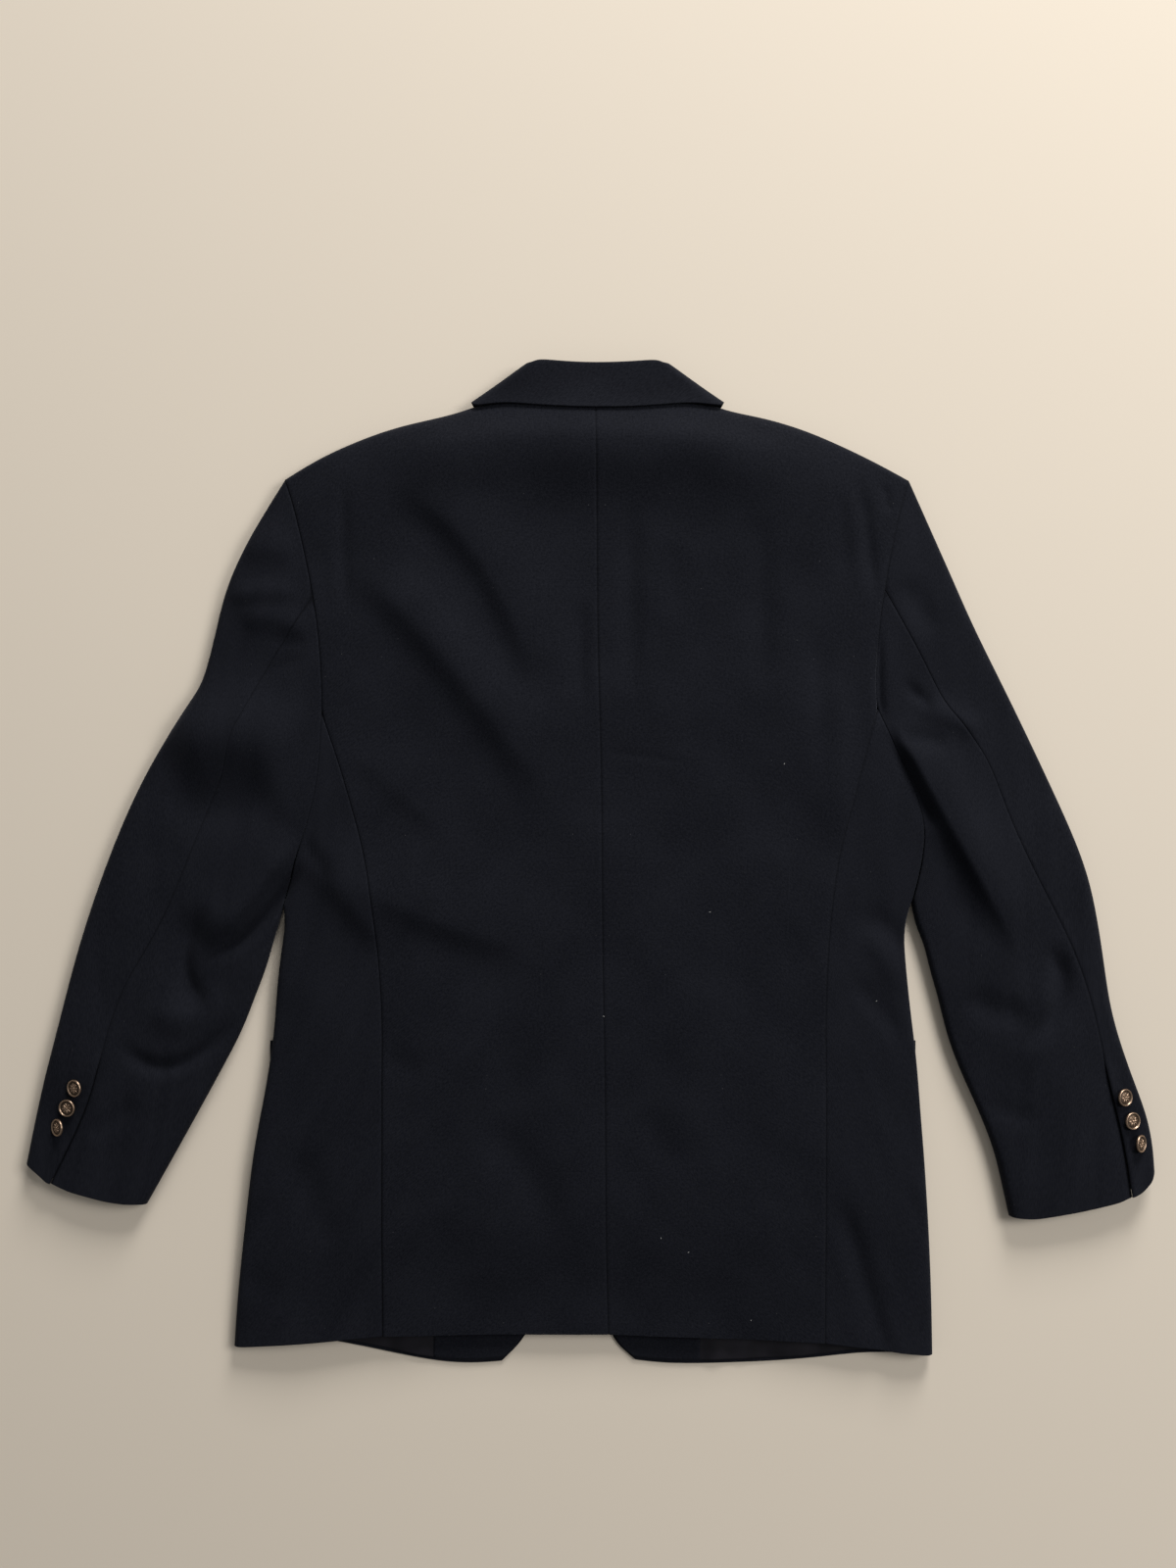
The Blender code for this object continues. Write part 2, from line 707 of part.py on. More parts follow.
def front_outline(half):
    """The front's inner edge: neck, roll line and front edge, a point for each row."""
    table = HALVES[half.name]
    neck = Path(table["front_neck"])
    roll = Path(table["roll_line"])
    edge = Path(table["front_edge"])
    points = neck.along(np.linspace(0, 1, NECK_ROWS + 1)[:-1])
    points += roll.along(np.linspace(0, table["lapel_share"], LAPEL_ROWS + 1))
    rest = FRONT_STEPS + BODY_ROWS - NECK_ROWS - LAPEL_ROWS
    points += edge.along(np.linspace(0, 1, rest))
    return points


def front_rows(half):
    """Rows of a front from its shoulder to its hem, columns from the armhole in."""
    bases = shoulder_bases(half, SHOULDER_COLUMNS)[::-1]
    first = [half.armhole_point("lower", share)[0:2] for share in half.lower_shares[:FRONT_STEPS + 1]]
    first += half.under_seam.along(np.linspace(0, 1, BODY_ROWS + 1)[1:])
    last = front_outline(half)
    hem = Path([first[-1]] + HALVES[half.name]["front_hem"][1:])
    across = np.linspace(0, 1, SHOULDER_COLUMNS + 1)
    rows_down = FRONT_STEPS + BODY_ROWS
    down = np.linspace(0, 1, rows_down + 1)
    top = [base for base, out in bases]
    top[0] = first[0]
    top[-1] = last[0]
    flat = patch(top, hem.along(across), first, last, across, down)
    rows = [[raised(point, lower_height(half.name, point)) for point in row] for row in flat]
    rolls = []
    for angle in (90.0, 120.0, 150.0):
        row = [
            rolled(base, out, ROLL, upper_height(base), lower_height(half.name, base), angle)
            for base, out in bases
        ]
        row[0] = half.armhole_point("outer", angle)
        rolls.append(row)
    return rolls + rows


def lapel_rows(half):
    """Rows of a lapel from its gorge down; columns from the front's edge round and out."""
    table = HALVES[half.name]
    folds = front_outline(half)[NECK_ROWS:NECK_ROWS + LAPEL_ROWS + 1]
    edge = Path(table["lapel_edge"])
    roll = Path(table["roll_line"])
    ahead = roll.direction(0.5)
    out = np.array([-ahead[1], ahead[0]])
    out = out if out[0] * half.sign < 0 else -out
    rows = []
    for step, fold in enumerate(folds):
        top = lower_height(half.name, fold)
        angles = [180.0 * turn / LEAF_FOLD_STEPS for turn in range(LEAF_FOLD_STEPS + 1)]
        clear = fold + out * LEAF_FOLD_GAP
        row = [rolled(clear, out, LEAF_FOLD, top, LOW, angle) for angle in angles]
        tip = edge.at(step / LAPEL_ROWS)
        for column in range(1, LEAF_COLUMNS + 1):
            row.append(raised(mix(fold, tip, column / LEAF_COLUMNS), LOW))
        rows.append(row)
    return rows


def collar_section(neck, fold, edge, out, place):
    """Points of the collar from neck seam over the roll line to the free edge."""
    start = fold - out * (LEAF_FOLD + WALL / 2)
    points = [place(mix(neck, start, step / STAND_STEPS), 0.0) for step in range(STAND_STEPS)]
    for step in range(LEAF_FOLD_STEPS + 1):
        turn = math.pi * step / LEAF_FOLD_STEPS
        points.append(place(start + out * LEAF_FOLD * math.sin(turn), LEAF_FOLD * (1 - math.cos(turn))))
    for step in range(1, FALL_STEPS + 1):
        share = step / FALL_STEPS
        points.append(place(mix(start, edge, share), mix(LEAF_LIFT, COLLAR_EDGE_LIFT, share)))
    return points


def collar_half(sign):
    """Stations of one half of the collar, from the centre to its end under the front."""
    half = "left" if sign < 0 else "right"

    def mirrored(point):
        x = point[0] if sign < 0 else 2 * COLLAR_CENTRE - point[0]
        return np.array([x, point[1]], float)

    stations = []
    for neck, fold, edge in COLLAR_TOP:
        neck, fold, edge = mirrored(neck), mirrored(fold), mirrored(edge)
        stations.append(collar_section(
            neck, fold, edge, unit(fold - neck),
            lambda point, lift: raised(point, upper_height(point) + lift),
        ))
    side_neck, side_fold, side_edge = (mirrored(point) for point in COLLAR_SIDE)
    across = unit(side_edge - side_fold)
    slant = np.array([-across[1], across[0]])
    slant = slant if slant[1] > 0 else -slant
    level = np.array([sign, 0.0])
    length = np.linalg.norm(side_edge - side_fold)

    def side_place(angle):
        def place(point, lift):
            share = min(max(np.dot(point - side_fold, across) / length, 0.0), 1.0)
            out = unit(mix(level, slant, share ** COLLAR_TURN_POWER))
            reach = mix(COLLAR_ROLL_AT_ROLL_LINE, COLLAR_ROLL_AT_EDGE, share)
            base = point - out * (reach + LEAF_LIFT + WALL / 2)
            top = upper_height(base) + lift
            foot = LOW + LEAF_LIFT - lift
            return rolled(base, out, reach + lift, top, foot, angle)
        return place

    for step in range(ROLL_STEPS + 1):
        stations.append(collar_section(
            side_neck, side_fold, side_edge, -across, side_place(180.0 * step / ROLL_STEPS),
        ))

    def under_place(point, lift):
        return raised(point, LOW + LEAF_LIFT * (1.0 - min(lift / COLLAR_EDGE_LIFT, 1.0)))

    for neck, fold, edge in COLLAR_UNDER:
        neck, fold, edge = mirrored(neck), mirrored(fold), mirrored(edge)
        stations.append(collar_section(neck, fold, edge, unit(fold - edge), under_place))
    return stations


def strip_rows(half, start, end, edge_side=None):
    """Rows of a facing's or a lining's end above the front's hem, between two of its shares.

    The last column follows the front's edge where edge_side gives that edge's X.
    """
    hem = Path(HALVES[half.name]["front_hem"])
    columns = np.linspace(0, 1, STRIP_COLUMNS + 1)
    points = [hem.at(mix(start, end, column)) + np.array([0.0, HEM_TURN_UP]) for column in columns]
    rows = []
    for step in range(STRIP_ROWS + 1):
        rise = STRIP_DEPTH * (1 - step / STRIP_ROWS)
        row = []
        for point, column in zip(points, columns):
            place = point + np.array([0.0, rise])
            if edge_side is not None:
                place[0] = mix(points[0][0], edge_side(place[1]), column)
            height = lower_height(half.name, place) + WALL / 2 + SEAM_GAP + LINING_WALL / 2
            row.append(raised(place, height))
        rows.append(row)
    return rows


def draw_in(rows):
    """Rows whose edges are drawn in by half a seam's gap, and more where the wall slopes."""
    points = np.array(rows, float)
    moved = points.copy()
    count_down, count_across = points.shape[0:2]

    def drawn(edge, inner, before, after):
        line = unit(points[after] - points[before])
        way = points[inner] - points[edge]
        way = way - line * np.dot(way, line)
        level = min(abs(np.cross(line, unit(way))[2]), 1.0)
        return unit(way) * (SEAM_GAP / 2 + SLOPE_CLEARANCE * math.sqrt(1.0 - level ** 2))

    for i in range(count_down):
        before, after = max(i - 1, 0), min(i + 1, count_down - 1)
        for edge, inner in ((0, 1), (-1, -2)):
            moved[i, edge] += drawn((i, edge), (i, inner), (before, edge), (after, edge))
    for j in range(count_across):
        before, after = max(j - 1, 0), min(j + 1, count_across - 1)
        for edge, inner in ((0, 1), (-1, -2)):
            moved[edge, j] += drawn((edge, j), (inner, j), (edge, before), (edge, after))
    return moved


def material(name, colour, roughness, metallic=0.0):
    finish = bpy.data.materials.new(name)
    finish.use_nodes = True
    shader = finish.node_tree.nodes["Principled BSDF"]
    shader.inputs["Base Color"].default_value = colour
    shader.inputs["Roughness"].default_value = roughness
    shader.inputs["Metallic"].default_value = metallic
    return finish


def cloth(name, rows, collection, colour=NAVY, wall=WALL):
    """A cloth piece: a grid laid on rows of mid-wall points, made a wall by Solidify."""
    points = draw_in(rows)
    shape = bmesh.new()
    bmesh.ops.create_grid(shape, x_segments=len(rows[0]) - 1, y_segments=len(rows) - 1, size=1.0)
    shape.verts.ensure_lookup_table()
    for vertex, point in zip(shape.verts, points.reshape(-1, 3)):
        vertex.co = Vector(point * MM)
    mesh = bpy.data.meshes.new(name)
    shape.to_mesh(mesh)
    shape.free()
    mesh.shade_smooth()
    piece = bpy.data.objects.new(name, mesh)
    piece.data.materials.append(material(name, colour, 0.9))
    thickness = piece.modifiers.new("Wall", "SOLIDIFY")
    thickness.thickness = wall * MM
    thickness.offset = 0.0
    thickness.use_even_offset = True
    thickness.use_quality_normals = True
    collection.objects.link(piece)
    return piece


def button(name, profile, collection):
    """A turned metal button, standing on its shank at its origin."""
    shape = bmesh.new()
    dots = [shape.verts.new((radius * MM, 0.0, height * MM)) for radius, height in profile]
    for start, end in zip(dots, dots[1:]):
        shape.edges.new((start, end))
    mesh = bpy.data.meshes.new(name)
    shape.to_mesh(mesh)
    shape.free()
    piece = bpy.data.objects.new(name, mesh)
    piece.data.materials.append(material(name, BRASS, 0.4, 1.0))
    turn = piece.modifiers.new("Turn", "SCREW")
    turn.steps = BUTTON_TURNS
    turn.render_steps = BUTTON_TURNS
    turn.use_merge_vertices = True
    turn.merge_threshold = 0.00001
    collection.objects.link(piece)
    return piece


def seat_on_upper(piece, place):
    """Set a button on the upper layer, square to its slope."""
    x, y = place
    reach = BUTTON_SEAT_REACH
    rise_x = upper_height((x + reach, y)) - upper_height((x - reach, y))
    rise_y = upper_height((x, y + reach)) - upper_height((x, y - reach))
    up = Vector((-rise_x, -rise_y, 2 * reach)).normalized()
    seat = Vector((x, y, upper_height(place))) + up * (WALL / 2 + SEAM_GAP)
    piece.location = seat * MM
    piece.rotation_mode = "QUATERNION"
    piece.rotation_quaternion = up.to_track_quat("Z", "Y")


def build_sleeve(half, collection):
    elbow = OUTER_STEPS
    top_stations = [("upper", share) for share in half.upper_shares[elbow::-1]]
    top_stations += [("outer", angle) for angle in ROLL_ANGLES]
    top_stations += [("lower", share) for share in half.lower_shares[:-1]]
    cloth(f"topsleeve_{half.name}", sleeve_rings(half, top_stations), collection)
    under_stations = [("upper", share) for share in half.upper_shares[elbow:]]
    under_stations += [("inner", angle) for angle in ROLL_ANGLES]
    under_stations += [("lower", share) for share in half.lower_shares[:-3:-1]]
    cloth(f"undersleeve_{half.name}", sleeve_rings(half, under_stations), collection)


def build_flap(half, collection):
    """A pocket flap, sewn to the front along its top and lying on the floor below."""
    outer, inner = HALVES[half.name]["flap"]
    sewn = LOW + LEAF_LIFT - WALL - SEAM_GAP
    rows = []
    for y, height in ((FLAP_TOP, sewn), ((FLAP_TOP + FLAP_FOOT) / 2, LOW), (FLAP_FOOT, LOW)):
        columns = np.linspace(outer, inner, FLAP_COLUMNS + 1)
        rows.append([np.array([x, y, height]) for x in columns])
    cloth(f"pocket_flap_{half.name}", rows, collection)


def build_strips(half, collection):
    """The ends of the facing and of the lining, which lie on the front above its hem."""
    hem = Path(HALVES[half.name]["front_hem"])
    edge = Path(HALVES[half.name]["front_edge"])
    order = edge.dots[:, 1].argsort()
    start = hem.share_at_x(HALVES[half.name]["lining_side"])
    joint = hem.share_at_x(HALVES[half.name]["facing_side"])

    def edge_side(y):
        inset = HEM_TURN_UP * half.sign
        return float(np.interp(y, edge.dots[order, 1], edge.dots[order, 0])) + inset

    lining = strip_rows(half, start, joint)
    cloth(f"lining_{half.name}", lining, collection, LINING_BLUE, LINING_WALL)
    facing = strip_rows(half, joint, FACING_END, edge_side)
    cloth(f"facing_{half.name}", facing, collection, NAVY, LINING_WALL)


def build():
    clear_scene()
    collection = bpy.data.collections.new("Blazer")
    bpy.context.scene.collection.children.link(collection)
    for name in HALVES:
        half = Half(name)
        cloth(f"back_{name}", back_rows(half), collection)
        cloth(f"side_{name}", side_rows(half), collection)
        cloth(f"front_{name}", front_rows(half), collection)
        cloth(f"lapel_{name}", lapel_rows(half), collection)
        build_sleeve(half, collection)
        build_flap(half, collection)
        build_strips(half, collection)
        for index, place in enumerate(CUFF_BUTTONS[name], start=1):
            piece = button(f"cuff_button_{name}_{index}", CUFF_BUTTON_PROFILE, collection)
            seat_on_upper(piece, place)
    collar = collar_half(-1.0)[::-1] + collar_half(1.0)[1:]
    cloth("collar", collar, collection)
    for index, (x, y) in enumerate(FRONT_BUTTONS, start=1):
        piece = button(f"front_button_{index}", FRONT_BUTTON_PROFILE, collection)
        piece.location = (x * MM, y * MM, 0.0)


build()
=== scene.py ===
"""A men's navy wool blazer, laid flat on its front on a pale floor and seen straight down.

The cloth lies in two layers: the back, the side panels and the tops of the sleeves above,
the fronts and the undersides of the sleeves on the floor. Tables are in millimetres from
the middle of the floor under the blazer; X runs to the wearer's right, Y to the collar.
"""

import math

import bmesh
import bpy
import numpy as np
from mathutils import Matrix, Vector


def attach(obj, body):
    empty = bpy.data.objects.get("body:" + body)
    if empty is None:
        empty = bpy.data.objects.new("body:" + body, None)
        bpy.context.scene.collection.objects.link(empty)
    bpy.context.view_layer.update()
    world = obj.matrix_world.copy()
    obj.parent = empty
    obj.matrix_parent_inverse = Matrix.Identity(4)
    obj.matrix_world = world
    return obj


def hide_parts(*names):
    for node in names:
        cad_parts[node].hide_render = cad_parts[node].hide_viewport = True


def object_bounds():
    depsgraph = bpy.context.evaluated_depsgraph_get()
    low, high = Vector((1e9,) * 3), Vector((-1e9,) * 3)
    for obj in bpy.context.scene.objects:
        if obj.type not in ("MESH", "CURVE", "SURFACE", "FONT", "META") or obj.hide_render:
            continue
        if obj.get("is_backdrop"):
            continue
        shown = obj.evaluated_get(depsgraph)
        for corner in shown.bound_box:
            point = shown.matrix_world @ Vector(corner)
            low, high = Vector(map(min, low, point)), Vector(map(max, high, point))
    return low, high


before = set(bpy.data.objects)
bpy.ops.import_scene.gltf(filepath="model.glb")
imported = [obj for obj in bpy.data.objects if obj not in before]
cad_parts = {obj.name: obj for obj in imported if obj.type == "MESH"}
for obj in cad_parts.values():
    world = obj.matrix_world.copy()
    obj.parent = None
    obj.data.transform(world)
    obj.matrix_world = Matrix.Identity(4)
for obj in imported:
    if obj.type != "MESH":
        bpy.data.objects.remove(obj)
cad_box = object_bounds()
scene = bpy.context.scene
MM = 0.001

# Setting
# The blazer lies on a plain cream floor. Soft light falls low from the right and from
# beyond the collar, so slopes that face those ways are bright and the others dark.
FLOOR_SIDE = 6.0
FLOOR_CREAM = (0.740, 0.662, 0.562, 1.0)
CAMERA_PLACE = (-2.1 * MM, 65.2 * MM, 1.3)
LENS = 35.2
SENSOR_HEIGHT = 36.0
WINDOWS = [("right_window", (2.9, 1.0, 2.9), 1.6, 80.0), ("far_window", (0.9, 3.2, 1.3), 1.3, 130.0)]
WINDOW_TINT = (1.0, 0.985, 0.96)
SKY = (0.20, 0.20, 0.196, 1.0)


def placed(name, data):
    """A new object in the scene."""
    made = bpy.data.objects.new(name, data)
    scene.collection.objects.link(made)
    return made


def mesh_of(name, shape):
    """The mesh of a shape, which is then freed."""
    mesh = bpy.data.meshes.new(name)
    shape.to_mesh(mesh)
    shape.free()
    return mesh


scene.view_settings.view_transform = "Standard"
camera = placed("camera", bpy.data.cameras.new("camera"))
camera.location = CAMERA_PLACE
camera.data.sensor_fit = "VERTICAL"
camera.data.sensor_height = SENSOR_HEIGHT
camera.data.lens = LENS
scene.camera = camera

for name, place, size, power in WINDOWS:
    lamp = bpy.data.lights.new(name, "AREA")
    lamp.size = size
    lamp.energy = power
    lamp.color = WINDOW_TINT
    holder = placed(name, lamp)
    holder.location = place
    holder.rotation_euler = (-Vector(place)).to_track_quat("-Z", "Y").to_euler()

world = bpy.data.worlds.new("sky")
world.use_nodes = True
world.node_tree.nodes["Background"].inputs["Color"].default_value = SKY
scene.world = world


class Signal:
    """An output socket, so that sums on values are written as sums."""

    def __init__(self, finish, socket):
        self.finish = finish
        self.socket = socket

    def maths(self, operation, second=0.0):
        return self.finish.node("ShaderNodeMath", {0: self, 1: second}, operation=operation)

    def other(self, name):
        return Signal(self.finish, self.socket.node.outputs[name])

    def __add__(self, value):
        return self.maths("ADD", value)

    def __sub__(self, value):
        return self.maths("SUBTRACT", value)

    def __mul__(self, value):
        return self.maths("MULTIPLY", value)

    def between(self, low, high):
        values = {"Value": self, "From Min": low, "From Max": high}
        return self.finish.node("ShaderNodeMapRange", values, interpolation_type="SMOOTHSTEP")


class Finish:
    """A material: its shader, and one way to add any node to it."""

    def __init__(self, name, **values):
        self.material = bpy.data.materials.new(name)
        self.material.use_nodes = True
        self.tree = self.material.node_tree
        self.feed(**values)

    def feed(self, **values):
        """Set the shader's inputs, named with underscores for spaces."""
        for name, value in values.items():
            self.plug(self.tree.nodes["Principled BSDF"].inputs[name.replace("_", " ")], value)

    def plug(self, socket, value):
        if isinstance(value, Signal):
            self.tree.links.new(value.socket, socket)
        else:
            socket.default_value = value

    def node(self, kind, values, output=0, **settings):
        made = self.tree.nodes.new(kind)
        for name, value in settings.items():
            setattr(made, name, value)
        for name, value in values.items():
            self.plug(made.inputs[name], value)
        return Signal(self, made.outputs[output])

    def noise(self, vector, scale, detail=2.0, roughness=0.5):
        values = {"Vector": vector, "Scale": scale, "Detail": detail, "Roughness": roughness}
        return self.node("ShaderNodeTexNoise", values)

    def blend(self, share, first, second):
        return self.node("ShaderNodeMix", {0: share, 6: first, 7: second}, 2, data_type="RGBA")

    def bump(self, height, strength, distance):
        values = {"Height": height, "Strength": strength, "Distance": distance}
        return self.node("ShaderNodeBump", values)

    def attribute(self, name):
        return self.node("ShaderNodeAttribute", {}, "Fac", attribute_name=name)

    def cloth_map(self):
        """The cloth's own map in metres: whole, across the grain and along it."""
        spot = self.node("ShaderNodeUVMap", {}, uv_map="Cloth")
        split = self.node("ShaderNodeSeparateXYZ", {"Vector": spot})
        return spot, split, split.other("Y")

    def threads(self, u, v):
        """Noise along the threads, from the map's two measures scaled unevenly."""
        return self.noise(self.node("ShaderNodeCombineXYZ", {"X": u, "Y": v}), 1.0)


floor_finish = Finish("floor_cream", Roughness=0.85, Specular_IOR_Level=0.1, Base_Color=FLOOR_CREAM)
floor_shape = bmesh.new()
bmesh.ops.create_grid(floor_shape, x_segments=1, y_segments=1, size=FLOOR_SIDE / 2)
floor = placed("floor", mesh_of("floor", floor_shape))
floor.data.materials.append(floor_finish.material)
floor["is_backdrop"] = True

# Back
# Two halves of worsted wool twill, cut along the grain and joined down the middle, with
# no vent. Each half is sewn to a side panel and to a sleeve, and rolls over the shoulder.
WALL = 2.0
SHOWN_WALL = 1.5
SEAM_GAP = 0.3
SEAM_LAP = 0.06
SEAM_DIP = 0.7
SEAM_ROLL = 1.2
# Painted shade along the seams: how far it reaches from a seam, and its dark colour, which stands in for the
# shade in the seam's groove
SEAM_SHADE = 0.75
SEAM_SHADOW_COLOUR = (0.0012, 0.0014, 0.0025, 1.0)
SEAM_GUARDS = (2.5, 7.0)
FAR = 1000.0
LOW = WALL / 2
ROLL = 6.0
EDGE = ROLL + WALL / 2
EDGE_TOP = LOW + 2 * ROLL
CROWN = 4.5
CROWN_REACH = 60.0
HEM_FALL = 2.0
HEM_FALL_REACH = 110.0
LEAF_LIFT = 3.3
FULL_LIFT_REACH = 42.0
LIFT_RAMP = 35.0
LAP_LIFT = 5.9
UNDER_SEAM_INSET = 35.0
UNDER_SEAM_SHARE = 0.78
UNDER_SEAM_START = 0.16
UNDER_SEAM_KNOTS = 8
INSEAM_SHARE = 0.88
ROLL_STEPS = 5
ROLL_ANGLES = [180.0 * step / ROLL_STEPS for step in range(1, ROLL_STEPS)]
NECK_COLUMNS = 4
SHOULDER_COLUMNS = 8
OUTER_STEPS = 5
BACK_STEPS = 7
SIDE_STEPS = 5
FRONT_STEPS = 5
BODY_ROWS = 24
ARMHOLE_SHARE_OF_BACK = 0.27
SPLINE_STEPS = 24
DIRECTION_REACH = 6.0
ROUNDING = 3
FLAT_ROUNDING = 2
UNDERARM_PARTING = 1.0
PARTING_START = 0.7
SHOULDER_TURN_POWER = 3
SHOULDER_PULL_POWER = 6

CENTRE_SEAM = [(4, 390), (5, 320), (6, 193), (9, 66), (10, -61), (12, -188), (13, -315), (15, -398)]

# Outline and seams of each half
LEFT_HALF = {
    "shoulder": [
        (-89, 386), (-98, 381.3), (-107, 378.8), (-135, 372), (-170, 364), (-215, 347), (-243, 331),
        (-257, 322),
    ],
    "armhole_back": [
        (-257, 322), (-249, 298), (-241, 264), (-234, 231), (-229, 198), (-226, 165), (-225, 132),
        (-226, 98), (-229, 65), (-236, 36), (-244, 13), (-252, -12), (-259, -40),
    ],
    "armhole_front": [
        (-257, 322), (-244, 281), (-226, 231), (-214, 181), (-211, 132), (-218, 82), (-233, 32),
        (-248, -10), (-259, -40),
    ],
    "side_edge": [
        (-259, -40), (-257.5, -52), (-260, -68), (-264, -101), (-267, -142), (-273, -184), (-285, -250),
        (-293, -317), (-298, -366), (-301, -408),
    ],
    "side_seam": [
        (-225, 123), (-208, 73), (-189, 2), (-180, -61), (-175, -125), (-175, -188), (-175, -252),
        (-175, -399),
    ],
    "neck": [(4, 390), (-44, 390.5), (-66, 389), (-86, 380)],
    "back_hem": [(15, -398), (-54, -398), (-139, -399), (-175, -399)],
    "front_hem": [
        (-266, -401), (-248, -402), (-205, -408), (-166, -416), (-130, -423), (-102, -425), (-75, -423),
    ],
    "front_neck": [(-86, 380), (-44, 327)],
    "roll_line": [(-41, 320), (-2, -43)],
    "front_edge": [
        (-2, -43), (-1, -151), (-4, -200), (-10, -250), (-20, -300), (-33, -350), (-45, -383),
        (-54, -398), (-61, -412), (-75, -423),
    ],
    "lapel_edge": [(-125, 298), (-110, 231), (-85, 148), (-48, 65), (-13, 2)],
    "lapel_share": 0.88,
    "facing_side": -133,
    "lining_side": -246,
    "flap": (-271, -125),
    "lapel_zone": [(-100, 390), (-112, 350), (-125, 298), (-85, 148), (-13, 2), (-2, -43), (-9, -151)],
}
RIGHT_HALF = {
    "shoulder": [
        (97, 386), (106, 381.3), (115, 379), (139, 375), (179, 364), (219, 347), (250, 331), (268, 321),
    ],
    "armhole_back": [
        (268, 321), (262, 304), (255, 275), (249, 245), (244, 215), (241, 186), (239, 156), (240, 130),
        (253, 102), (268, 73), (278, 47), (282, 24), (278, -6), (270, -34),
    ],
    "armhole_front": [
        (268, 321), (254, 281), (237, 231), (225, 181), (224, 132), (232, 90), (251, 44), (265, 2),
        (270, -34),
    ],
    "side_edge": [
        (270, -34), (266, -46), (264.5, -62), (265.5, -80), (269, -117), (275, -167), (279, -217),
        (283, -267), (286, -317), (288, -366), (289, -415),
    ],
    "side_seam": [
        (240, 127), (224, 66), (208, 2), (200, -61), (197, -125), (197, -188), (197, -315), (197, -405),
    ],
    "neck": [(4, 390), (52, 390.5), (74, 389), (94, 380)],
    "back_hem": [(15, -398), (93, -401), (197, -405)],
    "front_hem": [(254, -415), (224, -416), (192, -420), (152, -423), (98, -425), (64, -425), (38, -422)],
    "front_neck": [(94, 380), (52, 327)],
    "roll_line": [(49, 320), (-15, -43)],
    "front_edge": [
        (-15, -43), (-16, -151), (-15, -200), (-10, -250), (-4, -300), (5, -350), (10, -379), (16, -398),
        (23, -411), (38, -422),
    ],
    "lapel_edge": [(133, 298), (118, 231), (93, 148), (52, 85), (8, 47)],
    "lapel_share": 0.76,
    "facing_side": 93,
    "lining_side": 236,
    "flap": (275, 130),
    "lapel_zone": [(108, 390), (120, 350), (133, 298), (93, 148), (8, 47), (49, 320)],
}
HALVES = {"left": LEFT_HALF, "right": RIGHT_HALF}

# Sleeve sections from shoulder to cuff: outer x, y, inner x, y, elbow seam's share from outer
SLEEVES = {
    "left": [
        (-257, 322, -259, -40, 0.27), (-301, 249, -261.5, -51, 0.39), (-317, 190, -265, -62, 0.345),
        (-327, 152, -267, -69, 0.345), (-342, 129, -269, -76, 0.35), (-371, 82, -274, -93, 0.385),
        (-395, 32, -283, -116, 0.4), (-417, -26, -293, -142, 0.37), (-435, -83, -308, -171, 0.3),
        (-450, -142, -326, -204, 0.3), (-464, -196, -347, -242, 0.32), (-477, -259, -373, -288, 0.2),
    ],
    "right": [
        (268, 321, 270, -34, 0.25), (301, 248, 271.5, -44, 0.36), (323, 198, 274.5, -56, 0.31),
        (351, 142, 281, -72, 0.25), (376, 90, 286, -93, 0.27), (401, 36, 293, -117, 0.26),
        (420, -12, 300, -146, 0.22), (431, -68, 311, -176, 0.14), (439, -126, 326, -209, 0.08),
        (456, -178, 339, -242, 0.13), (472, -222, 346, -271, 0.17), (477, -264, 352, -298, 0.17),
    ],
}

